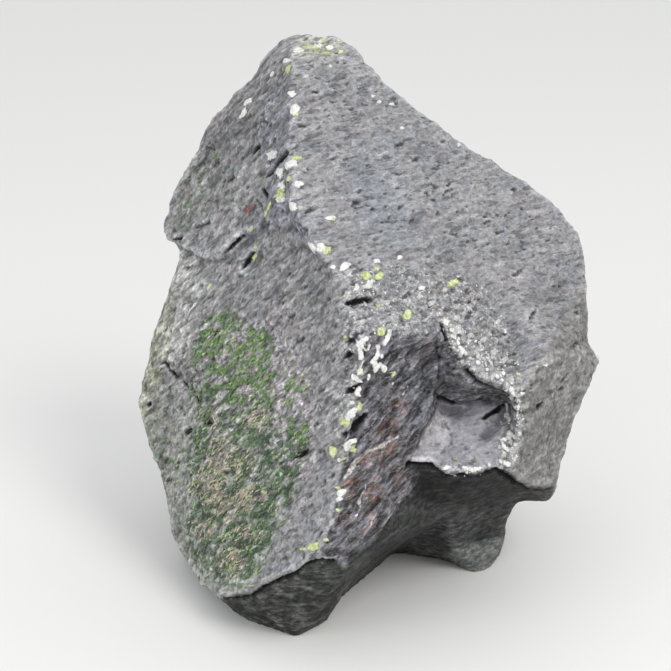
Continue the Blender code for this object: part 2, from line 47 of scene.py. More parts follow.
# ==== The main view ====
# Outlines and marks below are given in its pixels, as (across, down), and are carried along its sight lines to the
# first stone that they meet.
VIEW_WIDTH = 671
FOCAL_PX = 2000.0
VIEW_DISTANCE = 2.6
VIEW_ELEVATION = math.radians(22.0)
VIEW_TARGET = Vector((-0.0386, 0.0232, 0.322))
VIEW_RIGHT = Vector((1.0, 0.0, 0.0))
VIEW_UP = Vector((0.0, math.sin(VIEW_ELEVATION), math.cos(VIEW_ELEVATION)))
VIEW_BACK = Vector((0.0, -math.cos(VIEW_ELEVATION), math.sin(VIEW_ELEVATION)))
EYE = VIEW_TARGET + VIEW_DISTANCE * VIEW_BACK
PX_MM = 1.3                 # one pixel of the main view on the stone, in mm

# The rock splits along one set of planes. FOLIATION is square to them.
FOLIATION = Vector((0.464, -0.540, -0.703)).normalized()
GRAIN_RUN = Vector((0.740, 0.672, -0.027)).normalized()
# On the fresh break the ridges follow this run instead.
BREAK_RUN = Vector((0.65, 0.64, 0.41)).normalized()
BREAK_FACE = Vector((0.66, -0.74, 0.11)).normalized()
LEFT_FACE = Vector((-0.73, -0.60, 0.34)).normalized()
MOSS_RUN = Vector((0.623, -0.365, 0.692)).normalized()

# Areas of the surface, as outlines in the main view.
AREAS = {
    "pale": [(300, 58), (320, 36), (351, 36), (387, 80), (465, 140), (513, 170), (565, 208), (590, 255), (586, 290),
        (566, 322), (548, 345), (520, 395), (502, 385), (481, 378), (466, 365), (447, 340), (441, 323), (425, 334),
        (403, 330), (378, 332), (361, 342), (345, 290), (316, 250), (289, 205), (286, 150), (292, 105)],
    "lobe": [(583, 286), (596, 318), (592, 339), (606, 360), (592, 400), (578, 438), (562, 478), (552, 487),
        (524, 487), (517, 479), (511, 471), (519, 440), (518, 405), (548, 345)],
    "scar": [(361, 342), (378, 332), (403, 330), (425, 334), (441, 325), (440, 400), (410, 463), (419, 473),
        (413, 487), (398, 506), (382, 526), (368, 549), (344, 567), (320, 553), (333, 525), (343, 470), (353, 408)],
    "wall": [(436, 333), (447, 340), (466, 365), (481, 378), (502, 385), (515, 397), (509, 403), (469, 400),
        (453, 405), (441, 401)],
    "ledge": [(440, 402), (468, 400), (509, 403), (517, 413), (512, 470), (496, 466), (483, 468), (474, 473),
        (460, 472), (447, 473), (437, 468), (431, 462), (405, 462)],
    # The faces under the ledge and down to the ground, painted dark as shade.
    "under": [(409, 464), (431, 463), (437, 469), (447, 474), (460, 473), (474, 474), (483, 469), (496, 467),
        (511, 472), (518, 480), (524, 487), (556, 486), (552, 504), (530, 520), (520, 545), (496, 575), (476, 585),
        (441, 566), (405, 554), (374, 592), (348, 608), (342, 572), (352, 552), (368, 547), (382, 527), (398, 507),
        (413, 488), (420, 475)],
    # Where the painted shade of the faces below is lighter.
    "heel": [(444, 556), (460, 545), (501, 537), (512, 541), (496, 570), (476, 580)],
    # The toe, turned down toward the ground, painted dark as shade.
    "toe": [(221, 596), (237, 594), (252, 593), (266, 583), (281, 576), (297, 570), (308, 560), (333, 559),
        (324, 553), (344, 567), (350, 600), (326, 630), (297, 645), (244, 628), (224, 608)],
    # Painted shade in the break's inner corner against the ledge.
    "scar_dark": [(424, 336), (441, 325), (441, 401), (409, 463), (412, 475), (392, 512), (372, 545), (366, 540),
        (390, 498), (398, 462), (404, 430), (414, 395), (418, 362)],
    "bluish": [(350, 140), (392, 138), (412, 200), (408, 246), (376, 252), (352, 200)],
    # Painted shadow right under the ledge's lip.
    "under_lip": [(405, 463), (431, 463), (438, 470), (447, 475), (475, 475), (484, 470), (496, 468), (512, 474),
        (524, 486), (506, 500), (470, 506), (436, 504), (414, 498)],
    # Painted light, lifting the shadow under the shoulder.
    "below_shoulder": [(186, 240), (206, 232), (236, 226), (252, 236), (246, 268), (236, 296), (196, 300),
        (186, 270)],
    "brow": [(228, 98), (262, 92), (266, 130), (244, 168), (214, 168), (200, 160)],
    "algae": [(192, 400), (270, 410), (292, 480), (268, 560), (244, 592), (205, 587), (184, 530)],
    "ledge_light": [(440, 402), (450, 418), (446, 450), (436, 462), (405, 462)],
    "bright_low": [(296, 470), (345, 468), (334, 553), (262, 590), (276, 540)],
    "strip": [(198, 255), (194, 290), (188, 345), (174, 380), (150, 350), (158, 318), (168, 296), (172, 265),
        (176, 245)],
    "green_edge": [(172, 262), (176, 300), (168, 345), (160, 385), (156, 420), (134, 420), (134, 380), (146, 340),
        (158, 296)],
    "film": [(197, 318), (240, 312), (275, 332), (300, 372), (305, 440), (300, 486), (284, 520), (262, 572),
        (236, 592), (204, 585), (176, 545), (140, 500), (134, 430), (142, 380), (170, 372), (190, 350)],
    "lilac": [(205, 312), (275, 320), (312, 372), (312, 468), (290, 500), (262, 486), (200, 470), (192, 400),
        (190, 340)],
    "lower_left": [(144, 424), (192, 404), (262, 412), (288, 470), (274, 530), (250, 594), (205, 592), (172, 548),
        (144, 490)],
    # Painted shade on the face below the ledge's lip.
    "below_lip": [(415, 487), (430, 478), (438, 510), (424, 534), (404, 546), (378, 562), (368, 552), (385, 528),
        (400, 508)],
    # Painted shadow under the rim of the notch.
    "under_rim": [(484, 382), (500, 386), (514, 393), (518, 402), (500, 402), (482, 396)],
    # Painted shade in the hollow of the lobe.
    "lobe_hollow": [(522, 390), (552, 380), (564, 410), (556, 446), (524, 448)],
    "crown": [(294, 54), (300, 40), (318, 36), (338, 38), (342, 54), (318, 59)],
    "ridge_tint": [(270, 88), (292, 92), (290, 150), (286, 188), (316, 236), (322, 262), (298, 240), (276, 222),
        (246, 246), (236, 240), (256, 206), (272, 176), (256, 146)],
    "knob_green": [(196, 148), (214, 166), (206, 214), (186, 232), (174, 224), (184, 186)],
    "speckled": [(344, 270), (380, 262), (420, 268), (470, 276), (500, 300), (520, 345), (524, 410), (516, 474),
        (446, 478), (450, 462), (496, 462), (502, 400), (480, 384), (450, 352), (440, 330), (400, 335), (362, 350),
        (350, 420), (338, 420), (342, 330)],
}
# How softly each area ends, in pixels. Those that aren't named here end over EDGE_PX.
EDGE_PX = 8.0
EDGE_WOBBLE = 0.55          # how far the edges wander, as a share of their softness
AREA_EDGES_PX = {
    "ledge_light": 2.5, "below_lip": 3, "under_lip": 4, "pale": 5, "lobe": 6, "under": 1.8, "toe": 2, "scar": 2,
    "ledge": 1.4, "wall": 2, "heel": 3,
}

# Where rust has soaked out of the break, and the pale veins that cross it: points, then half width in pixels.
RUST_SPOTS = [
    (374, 490, 15), (352, 487, 12), (398, 406, 10), (388, 428, 12), (400, 478, 10), (366, 520, 10), (380, 455, 12),
    (345, 520, 8), (392, 452, 9), (360, 462, 8), (424, 342, 6), (349, 333, 5), (446, 333, 5),
]
VEINS = [
    ([(345, 476), (356, 462), (368, 451), (384, 444), (399, 437)], 1.4), ([(359, 506), (363, 494), (367, 483)], 0.7),
    ([(367, 526), (374, 514)], 0.7), ([(388, 373), (402, 366), (414, 352)], 0.5), ([(398, 398), (408, 385)], 0.5),
    ([(352, 520), (360, 508)], 0.5), ([(411, 486), (403, 498), (392, 512), (380, 528)], 0.6),
    ([(412, 459), (422, 442), (432, 424), (441, 408)], 0.8),
]

# Slots and holes in the main view: from, to, half width and depth in mm.
SLOTS = [
    ((267, 174), (285, 154), 6, 14), ((226, 252), (244, 236), 2.6, 8), ((242.5, 267), (253, 254), 5.6, 9),
    ((253, 153), (260, 146), 4, 6), ((297, 124), (305, 126), 2.5, 4), ((314, 92), (318, 92), 3, 5),
    ((263, 121), (267, 123), 3, 5), ((347, 303), (369, 299), 4.5, 8), ((345, 357), (350, 354), 4, 7),
    ((347, 341), (353, 339), 4, 6), ((347, 391), (355, 387), 4.5, 8), ((344, 435), (366, 416), 5, 11),
    ((441, 323), (446, 340), 3.5, 8), ((263, 190), (267, 197), 3.5, 6), ((256, 201), (262, 207), 3, 5),
    ((294, 456), (308, 451), 4, 7), ((185, 433), (190, 430), 4, 8), ((206, 424), (211, 421), 4.5, 8),
    ((148, 405), (151, 403), 3.5, 6), ((539, 407), (543, 404), 4, 6), ((573, 346), (577, 343), 3.5, 5),
    ((559, 390), (562, 388), 3.5, 5), ((483, 418), (494, 412), 3.4, 6), ((494, 412), (503, 407), 4.2, 8),
    ((503, 406.5), (508, 405), 3.6, 8), ((508, 405), (512, 407.5), 3.6, 8), ((512, 407.5), (516.5, 413), 3.4, 8),
    ((228, 181), (233, 177), 3.5, 5), ((214, 166), (218, 160), 3, 5), ((195, 228), (210, 222), 2.6, 5),
    ((203, 322), (211, 318), 3, 5), ((213, 334), (218, 330), 3.5, 6), ((306, 212), (311, 209), 3, 4),
    ((404, 297), (410, 293), 2.5, 4), ((514, 276), (521, 270), 2.5, 4), ((445, 192), (452, 189), 2.5, 4),
    ((497, 233), (503, 231), 2.5, 4), ((397, 146), (403, 143), 2.5, 4), ((332, 160), (337, 157), 2.5, 4),
    ((352, 205), (357, 202), 2.5, 4), ((530, 318), (536, 310), 2.8, 4), ((466, 318), (474, 309), 2.5, 4),
    ((262, 300), (270, 297), 3, 4), ((296, 342), (303, 339), 3, 5), ((288, 318), (294, 315), 3, 4),
    ((318, 392), (324, 389), 3, 4), ((238, 276), (244, 274), 3, 4),
]
# Cracks and, after them, grooves right under the overhanging lips and along the inner corners: points, half width and
# depth in mm. Those at least DARK_SLOT_MM deep are painted dark along the middle, as shadow.
CRACKS = [
    ([(163, 360), (173, 373), (185, 384), (194, 392), (198, 401)], 2.5, 6.6),
    ([(444, 421), (450, 432), (453, 442), (446, 448), (441, 453)], 1.8, 3),
    ([(436, 340), (439, 366), (440, 396)], 2.2, 4),
    ([(292, 217), (306, 232), (318, 245)], 1.8, 2.5),
    ([(163, 236), (172, 240), (181, 238)], 2.6, 6),
    ([(197, 152), (205, 147), (214, 150)], 2, 3.5),
    ([(408, 465), (420, 465), (432, 466), (439, 472), (448, 476), (460, 475), (473, 477), (484, 473), (496, 470),
      (507, 477), (516, 484)], 4.2, 13),
    ([(222, 598), (237, 598), (251, 597), (265, 587), (280, 580), (296, 573), (308, 564), (322, 560), (334, 561)],
     3.6, 9),
    ([(466, 371), (480, 384), (494, 389), (506, 393), (515, 402)], 5, 9),
    ([(446, 344), (456, 356), (466, 369)], 1.8, 3),
    ([(440, 399), (447, 401), (454, 404)], 5, 6.5),
    ([(456, 405), (470, 402), (490, 404), (508, 405)], 1.6, 3),
    ([(441, 330), (439, 362), (440, 398), (430, 420), (418, 444), (409, 462)], 2.2, 4),
    ([(519, 484), (526, 489), (538, 490), (550, 488)], 3, 7),
    ([(361, 346), (356, 372), (352, 398), (349, 424), (345, 452), (341, 480), (336, 508), (330, 532), (322, 552)],
     2, 3),
    ([(370, 549), (385, 528), (399, 509), (414, 489)], 1.8, 3),
]

# Moss patches in the main view, by the solid that each stands in for.
MOSS_PATCHES = {
    "moss_bank": [(197, 330), (207, 318), (234, 316), (246, 330), (269, 332), (274, 375), (268, 405), (276, 440),
        (297, 467), (299, 486), (282, 508), (268, 532), (258, 566), (249, 583), (222, 584), (204, 572), (192, 552),
        (190, 515), (195, 484), (189, 462), (196, 420), (192, 378)],
    "moss_islet_high": [(300, 374), (309, 376), (303, 390), (297, 401), (284, 403), (288, 390)],
    "moss_islet_low": [(292, 424), (304, 426), (302, 438), (309, 449), (297, 464), (289, 455)],
    "moss_fringe": [(155, 440), (166, 438), (174, 455), (176, 478), (168, 484), (160, 462)],
}
# Places of lone tufts: a middle, a reach in pixels and how many shoots.
MOSS_FLECKS = [
    (202, 189, 7, 12), (188, 205, 6, 10), (209, 210, 6, 10), (192, 227, 5, 8), (215, 155, 6, 9), (233, 172, 5, 7),
    (176, 222, 5, 8), (205, 172, 5, 6), (222, 196, 5, 5), (150, 428, 8, 10), (148, 450, 7, 8), (160, 420, 6, 6),
    (172, 405, 6, 6), (182, 452, 6, 8), (178, 500, 7, 8), (184, 520, 7, 8), (290, 352, 5, 6), (270, 352, 5, 5),
    (236, 300, 5, 4), (286, 418, 5, 5), (443, 425, 3, 3), (442, 464, 3, 4), (453, 461, 3, 4), (474, 462, 3, 4),
    (287, 336, 4, 3), (282, 524, 5, 6), (160, 372, 5, 4), (314, 410, 4, 3),
]
# Where the shoots are dry and tan, where they are young and bright: a middle and a reach in pixels.
DRY_MOSS = [
    (206, 486, 16), (213, 499, 14), (223, 511, 14), (245, 534, 16), (258, 497, 14), (214, 472, 14), (241, 464, 14),
    (255, 420, 14), (222, 455, 18), (232, 560, 18), (205, 530, 14), (240, 500, 16), (210, 420, 12),
]
BRIGHT_MOSS = [
    (215, 330, 16), (240, 340, 18), (255, 358, 20), (230, 372, 20), (262, 385, 14), (296, 384, 14), (214, 350, 14),
    (300, 432, 12), (246, 395, 14),
]

# Crust lichens in the main view: across, down, half length and half width in pixels, turn in degrees.
WHITE_CRUSTS = [
    (318, 46, 5, 2, 10), (330, 47, 4, 2, 0), (298, 50, 5, 3, 0), (287, 61, 4, 2, 30), (272, 74, 3, 2, 30),
    (292, 94, 4, 3, 0), (295, 109, 5, 4, 60), (243, 113, 6, 2, 60), (248, 102, 5, 2, 40), (272, 155, 5, 4, 20),
    (280, 173, 4, 4, 0), (299, 184, 4, 3, 0), (283, 185, 6, 3, 30), (280, 199, 4, 3, 30), (333, 267, 2.5, 2, 0),
    (345, 266, 5, 3, 30), (373, 96, 2, 1.5, 0), (379, 102, 2, 1.5, 0), (392, 104, 2, 1.5, 0), (402, 128, 2, 1.5, 0),
    (459, 145, 3, 1.5, 30), (331, 218, 5, 2, 0), (377, 261, 3, 2, 0), (400, 257, 2.5, 2, 0), (368, 285, 5, 3, 30),
    (356, 288, 4, 2, 60), (341, 493, 4, 3, 40), (339, 499, 3, 2, 20), (546, 365, 2, 1.5, 0), (447, 468, 4, 2, 10),
    (452, 330, 2, 2, 0), (446, 322, 3, 3, 60), (422, 288, 3, 2, 0),
]
YELLOW_CRUSTS = [
    (311, 48, 6, 3, 0), (325, 53, 4, 2, 20), (288, 69, 5, 4, 40), (296, 114, 3, 2, 30), (297, 158, 5, 1.5, 0),
    (289, 179, 3, 2, 50), (281, 193, 8, 3.5, 45), (269, 206, 5, 1.6, 50), (251, 229, 3, 2, 60),
    (266, 214, 4, 1.3, 50), (255, 257, 4, 2, 60), (209, 287, 4, 1.6, 60), (327, 250, 3.5, 4, 0), (453, 283, 5, 3, 20),
    (366, 276, 4, 3.5, 20), (379, 276, 4, 3, 30), (377, 269, 2, 1.6, 0), (381, 332, 4, 4, 0), (407, 314, 3.5, 4.5, 0),
    (393, 374, 3.5, 3, 0), (360, 407, 3.5, 4, 0), (345, 422, 4, 4, 0), (353, 449, 3, 3, 0), (338, 510, 2.5, 1.5, 0),
    (326, 540, 2.5, 1.5, 0), (314, 547, 5, 3.5, 20), (303, 549, 2.5, 1.5, 0), (333, 451, 3, 5, 10),
    (378, 306, 1.5, 1.5, 0), (338, 488, 2.5, 2, 0), (343, 459, 3, 1.2, 20), (360, 370, 2, 2.5, 0),
    (361, 373, 2, 2, 0), (256, 247, 2, 1.2, 50), (333, 219, 2, 1.5, 0), (304, 53, 3, 1.5, 0), (341, 52, 3, 1.5, 20),
    (518, 374, 2, 1.5, 0), (345, 337, 1.5, 1.5, 0),
]
GREY_CRUSTS = [
    (431, 303, 3.9, 2.2, 20), (419, 297, 2.8, 2.2, 40), (404, 301, 2.8, 1.7, 0), (470, 312, 3.9, 2.2, 10),
    (497, 322, 3.3, 2.2, 40), (352, 312, 3.3, 2.2, 10), (361, 322, 3.9, 2.2, 30), (386, 303, 3.3, 2.2, 10),
    (445, 290, 2.8, 2.2, 20), (494, 352, 3.9, 2.8, 30), (484, 340, 3.3, 2.2, 20), (505, 360, 3.3, 2.8, 60),
    (470, 335, 2.8, 2.2, 30), (512, 380, 2.2, 2.8, 0), (456, 318, 2.8, 2.2, 20), (349, 275, 3.3, 1.7, 0),
    (348, 296, 2.2, 1.7, 0), (300, 208, 2.8, 2.2, 0), (268, 166, 2.2, 1.7, 30), (306, 76, 2.8, 1.7, 0),
    (330, 66, 2.2, 1.7, 20), (512, 426, 1.7, 3.3, 0), (503, 456, 2.2, 2.2, 0),
]
# White crusts that grew together in rows of knobs: across, down and half width in pixels.
WHITE_ROWS = [
    [(311, 248, 5.6)], [(321, 247, 4.4)], [(293, 163, 4), (287, 166, 3.4)], [(292, 207, 4.2)],
    [(367, 338, 1.8), (362.5, 340.5, 2.4), (358.5, 344, 2.4), (360, 348.5, 2), (361, 353, 2.2), (361, 357.5, 2.6)],
    [(369, 345.5, 1.6), (368, 349, 1.2)], [(363, 361.5, 1.2), (361, 366, 1)],
    [(389.5, 332, 2.6), (387.5, 338, 2.5), (384.5, 343.5, 2.2)],
    [(378, 347, 2.2), (378, 351, 1.6), (377.5, 355, 2.2), (373.6, 362, 3), (376, 368.5, 3.4), (380, 364.5, 2),
     (384.5, 369, 3.2)],
    [(381.8, 356.6, 1.9)], [(392.5, 383.5, 1.3)], [(369, 376, 1.9), (368, 379, 1.2)], [(360, 372, 2.6)],
    [(354.5, 377.5, 3), (358.5, 380.5, 2.2)], [(358.5, 389, 2.8), (356.5, 393, 2.2)], [(352.5, 403, 1.9)],
    [(347.5, 418, 2.6), (351, 413.5, 3.4), (354.5, 410.5, 2.4)],
    [(355, 440.5, 2.2), (351, 441.5, 2.4), (347.5, 444.5, 2.8), (346.5, 448.5, 2.2)], [(339, 460, 1.8)],
    [(461, 348.5, 3), (465.5, 353, 2)], [(470, 358, 1.6)], [(478, 362.5, 2.4)], [(487, 369.5, 1.8)], [(497, 376, 2)],
    [(452, 336, 1.8)], [(511.5, 390, 2.8), (514, 395, 1.6)], [(502, 380, 1.6)],
    [(507, 415.5, 3), (509.5, 419.5, 2.2)], [(509, 433, 2.8), (514.5, 436.5, 2.4), (505, 439.5, 2)],
    [(503.5, 446, 2.4), (507.5, 450.5, 1.6)], [(515.5, 444.5, 1.8)], [(501, 461.5, 2), (508, 464, 2.8)],
    [(464, 467.5, 2), (470, 468.8, 2.2), (475, 469.5, 2.4), (480, 468, 1.4)], [(489, 465, 1.6)],
    [(516, 456, 1.6), (514, 460, 1.2)], [(518, 407, 1.6), (518, 411, 1.2)],
]
# The densest crusts, along the rim of the notch and down the right edge of the ledge.
RIM_CRUST = [
    (440, 318), (452, 318), (468, 334), (488, 348), (508, 366), (522, 384), (524, 412), (520, 452), (512, 472),
    (494, 470), (500, 432), (502, 408), (512, 400), (498, 382), (478, 374), (462, 356), (446, 334),
]


# ==== Places on the stone ====
def to_view(points):
    """Across and down, in the main view's pixels, of points given in metres as rows."""
    away = points - np.array(EYE)
    depth = -(away @ np.array(VIEW_BACK))
    across = VIEW_WIDTH / 2 + FOCAL_PX * (away @ np.array(VIEW_RIGHT)) / depth
    down = VIEW_WIDTH / 2 - FOCAL_PX * (away @ np.array(VIEW_UP)) / depth
    return np.stack([across, down], axis=1)


def sight_line(across, down):
    """The direction in which the main view sees this place."""
    line = -FOCAL_PX * VIEW_BACK
    line += (across - VIEW_WIDTH / 2) * VIEW_RIGHT
    line -= (down - VIEW_WIDTH / 2) * VIEW_UP
    return line.normalized()


def met_by(tree, across, down):
    """The first place of the stone on this sight line, and the way it faces, or nothing."""
    return tree.ray_cast(EYE, sight_line(across, down))[:2]


def gap_to_run(points, start, end):
    """Distance of each point from a straight run, in two or three dimensions."""
    start = np.array(start, dtype=float)
    run = np.array(end, dtype=float) - start
    share = np.clip(((points - start) @ run) / max(run @ run, 1e-12), 0.0, 1.0)
    return np.linalg.norm(points - start - share[:, None] * run, axis=1)


def inside_by(spots, loop):
    """How far each spot lies inside a closed outline, in pixels, and negative outside it."""
    nearest = np.full(len(spots), np.inf)
    inside = np.zeros(len(spots), dtype=bool)
    for (x0, y0), (x1, y1) in zip(loop, loop[1:] + loop[:1]):
        nearest = np.minimum(nearest, gap_to_run(spots, (x0, y0), (x1, y1)))
        if y0 == y1:
            continue
        crossed = (y0 > spots[:, 1]) != (y1 > spots[:, 1])
        meets = x0 + (spots[:, 1] - y0) * (x1 - x0) / (y1 - y0)
        inside ^= crossed & (spots[:, 0] < meets)
    return np.where(inside, nearest, -nearest)


def soft_step(values, low, high):
    """0 below low, 1 above high and a smooth rise between them."""
    share = np.clip((values - low) / (high - low), 0.0, 1.0)
    return share * share * (3.0 - 2.0 * share)


def near_middles(spots, middles, inner, outer):
    """1 near each middle (across, down, reach), within its inner share of the reach, and 0 from the outer one on."""
    near = np.zeros(len(spots))
    for across, down, reach in middles:
        gap = np.linalg.norm(spots - (across, down), axis=1)
        near = np.maximum(near, 1.0 - soft_step(gap, inner * reach, outer * reach))
    return near


def axes_along(run, square_to):
    """Rows that turn a point into steps along a run, across it in its plane, and square to that plane."""
    square = square_to.normalized()
    along = (run - square * run.dot(square)).normalized()
    return np.array([along, square.cross(along), square])


GRAIN_AXES = axes_along(GRAIN_RUN, FOLIATION)
BREAK_AXES = axes_along(BREAK_RUN, BREAK_FACE)
MOSS_AXES = axes_along(MOSS_RUN, LEFT_FACE)[[0, 2, 1]]
# The layers of the faces near the ground lie nearly level.
LEVEL_AXES = axes_along(Vector((1.0, 0.0, 0.06)).normalized(), Vector((-0.06, 0.0, 1.0)).normalized())
PLAIN_AXES = np.eye(3)


def field(points, axes, cells_mm, shift=0.0, detail=1):
    """Smooth noise, about -1 to 1, with cells of these lengths along the three axes. Each further pass of detail is
    half as strong and about twice as fine."""
    steps = (points @ axes.T) / (np.array(cells_mm) * MM) + shift
    total = np.zeros(len(points))
    weight = 1.0
    for _ in range(detail):
        total += weight * np.array([noise.noise(step) for step in steps.tolist()])
        steps = steps * 2.03 + 11.7
        weight *= 0.5
    return total


# ==== Meshes and objects ====
def rows_of(items, field_name, width, kind=float):
    """One field of a mesh's vertices, edges or triangles, a row each."""
    flat = np.empty(len(items) * width, dtype=kind)
    items.foreach_get(field_name, flat)
    return flat.reshape(-1, width)


def places_of(mesh):
    return rows_of(mesh.vertices, "co", 3)


def normals_of(mesh):
    return rows_of(mesh.vertex_normals, "vector", 3)


def set_places(mesh, places):
    mesh.vertices.foreach_set("co", places.ravel())
    mesh.update()


def neighbour_mean(values, pairs):
    """The mean of each vertex's neighbours, for one number or one row a vertex."""
    count = len(values)
    rows = values.reshape(count, -1)
    shares = np.bincount(pairs.ravel(), minlength=count).astype(float)
    out = np.empty_like(rows)
    for column in range(rows.shape[1]):
        total = np.bincount(pairs[:, 0], weights=rows[pairs[:, 1], column], minlength=count)
        total += np.bincount(pairs[:, 1], weights=rows[pairs[:, 0], column], minlength=count)
        out[:, column] = total / np.maximum(shares, 1.0)
    return out.reshape(values.shape)


def evened(values, pairs, times):
    for _ in range(times):
        values = neighbour_mean(values, pairs)
    return values


def store(mesh, name, values):
    """Keeps one number a vertex on the mesh, for its material to read."""
    layer = mesh.attributes.new(name, "FLOAT", "POINT")
    layer.data.foreach_set("value", np.asarray(values, dtype=np.float32))


def tree_of(mesh):
    """The mesh as a tree that sight lines can be cast against."""
    mesh.calc_loop_triangles()
    corners = rows_of(mesh.loop_triangles, "vertices", 3, np.int64)
    return BVHTree.FromPolygons(places_of(mesh).tolist(), corners.tolist())


def add_object(name, data):
    made = bpy.data.objects.new(name, data)
    bpy.context.collection.objects.link(made)
    return made


def shade_round(mesh):
    for face in mesh.polygons:
        face.use_smooth = True


# ==== The stone ====
WELD_MM = 0.02
STONE_GRID_MM = 6.8         # size of the even mesh that the solid is laid out in
FLAT_BASE_MM = 2.5          # below this the stone keeps its flat seat
SNAP_MM = 0.5               # and below this it stands on the ground
FLAT_BEND = 0.018           # how much the faces round a vertex may turn and still be one flat face
SHARP_BEND = 0.075          # how much they turn at a broken edge
SOFTEN_PASSES = 16
SOFTEN_EDGES = 0.04         # how far a pass evens out the broken edges, and how much further the flat faces
SOFTEN_FACES = 0.56
HIDDEN_MM = 7.0             # a vertex this far behind the first stone on its sight line is hidden
RAGGED_MM = 1.6             # how far the sides of slots and cracks wander
CUT_SHARE = 0.82            # half width of a cut, of the painted shade in a slot and of the painted shadow in a groove, as shares
LENS_SHARE = 0.85
GROOVE_SHARE = 0.55
DARK_SLOT_MM = 5.5          # slots at least this deep are painted dark inside, as shade
SIDE_SLOPE = 0.25           # how much a slit's or vein's slope falls from its middle to its side
SLOT_SHARE = 0.8            # how much of a slot's depth the mesh takes
DENT_DARK = 0.62            # how dark the painted shade in dents gets, where a slot of FULL_PIT_MM is 1
FULL_PIT_MM = 7.0


def even_mesh(node):
    """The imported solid, joined up and laid out in an even mesh."""
    mesh = node.data.copy()
    joined = bmesh.new()
    joined.from_mesh(mesh)
    bmesh.ops.remove_doubles(joined, verts=joined.verts, dist=WELD_MM * MM)
    joined.to_mesh(mesh)
    joined.free()
    work = add_object("work", mesh)
    remesh = work.modifiers.new("even", "REMESH")
    remesh.mode = "VOXEL"
    remesh.voxel_size = STONE_GRID_MM * MM
    depsgraph = bpy.context.evaluated_depsgraph_get()
    even = bpy.data.meshes.new_from_object(work.evaluated_get(depsgraph))
    bpy.data.objects.remove(work)
    return even


def refine_front(mesh):
    """Halves the mesh on the sides that the main view sees."""
    fine = bmesh.new()
    fine.from_mesh(mesh)
    edges = set()
    for face in fine.faces:
        middle = face.calc_center_median()
        if face.normal.dot(EYE - middle) > 0.02 and middle.z > FLAT_BASE_MM * MM:
            edges.update(face.edges)
    bmesh.ops.subdivide_edges(fine, edges=list(edges), cuts=1, use_grid_fill=True)
    bmesh.ops.triangulate(fine, faces=[face for face in fine.faces if len(face.verts) > 4])
    fine.to_mesh(mesh)
    fine.free()


def lay_on_solid(mesh, node):
    """Brings the fine mesh back onto the solid, so that its breaks and corners are sharp again."""
    solid = tree_of(node.data)
    places = places_of(mesh)
    for index, place in enumerate(places.tolist()):
        places[index] = solid.find_nearest(place)[0]
    places[places[:, 2] < SNAP_MM * MM, 2] = 0.0
    set_places(mesh, places)


def soften_flats(mesh, pairs):
    """Takes the solid's flat triangles out of the even faces and leaves its broken edges sharp."""
    places = places_of(mesh)
    bend = 1.0 - np.linalg.norm(evened(normals_of(mesh), pairs, 3), axis=1)
    for _ in range(2):
        bend = np.maximum(bend, neighbour_mean(bend, pairs))
    weight = (SOFTEN_EDGES + SOFTEN_FACES * (1.0 - soft_step(bend, FLAT_BEND, SHARP_BEND)))[:, None]
    seat = places[:, 2] < FLAT_BASE_MM * MM
    for _ in range(SOFTEN_PASSES):
        moved = places + weight * (neighbour_mean(places, pairs) - places)
        moved[seat] = places[seat]
        places = moved
    set_places(mesh, places)


def seen_from_front(places, normals, tree):
    """1 where the main view sees a vertex, 0 where the stone hides it."""
    seen = np.zeros(len(places))
    for index, (place, normal) in enumerate(zip(places.tolist(), normals.tolist())):
        line = Vector(place) - EYE
        if line.dot(Vector(normal)) > 0.0:
            continue
        hit, _, _, gap = tree.ray_cast(EYE, line.normalized())
        if hit is None or gap > line.length - HIDDEN_MM * MM:
            seen[index] = 1.0
    return seen


def hidden_grounds(places, normals):
    """What the sides away from the main view are painted with, by the way they face: faces turned down are dark as
    painted shade, faces turned up are pale as painted light.
    """
    down = soft_step(-normals[:, 2], 0.05, 0.45)
    up = soft_step(normals[:, 2], -0.05, 0.45)
    patches = soft_step(field(places, PLAIN_AXES, (120, 120, 90), 5.0, 2), -0.1, 0.35)
    low = 1.0 - soft_step(places[:, 2], 0.06, 0.30)
    return {
        "under": down,
        "pale": up * (0.55 + 0.35 * (1.0 - patches)),
        "film": (1.0 - down) * np.clip(0.55 * patches + 0.45 * low, 0.0, 1.0),
        "green_edge": 0.5 * (1.0 - patches) * (1.0 - up) * (1.0 - down),
    }


def area_masks(places, normals, pairs, spots, seen):
    """One number a vertex for each area, in the front by its outline and at the back by the way the face looks."""
    wobble = EDGE_WOBBLE * field(places, PLAIN_AXES, (16, 16, 16), 3.0, 2)
    hidden = hidden_grounds(places, normals)
    masks = {}
    for name, loop in AREAS.items():
        edge = AREA_EDGES_PX.get(name, EDGE_PX)
        front = soft_step(inside_by(spots, loop) + wobble * edge, -edge, edge)
        values = seen * front + (1.0 - seen) * hidden.get(name, 0.0)
        for _ in range(4):
            values = np.where(seen > 0.5, values, 0.5 * values + 0.5 * neighbour_mean(values, pairs))
        masks[name] = values
    return masks


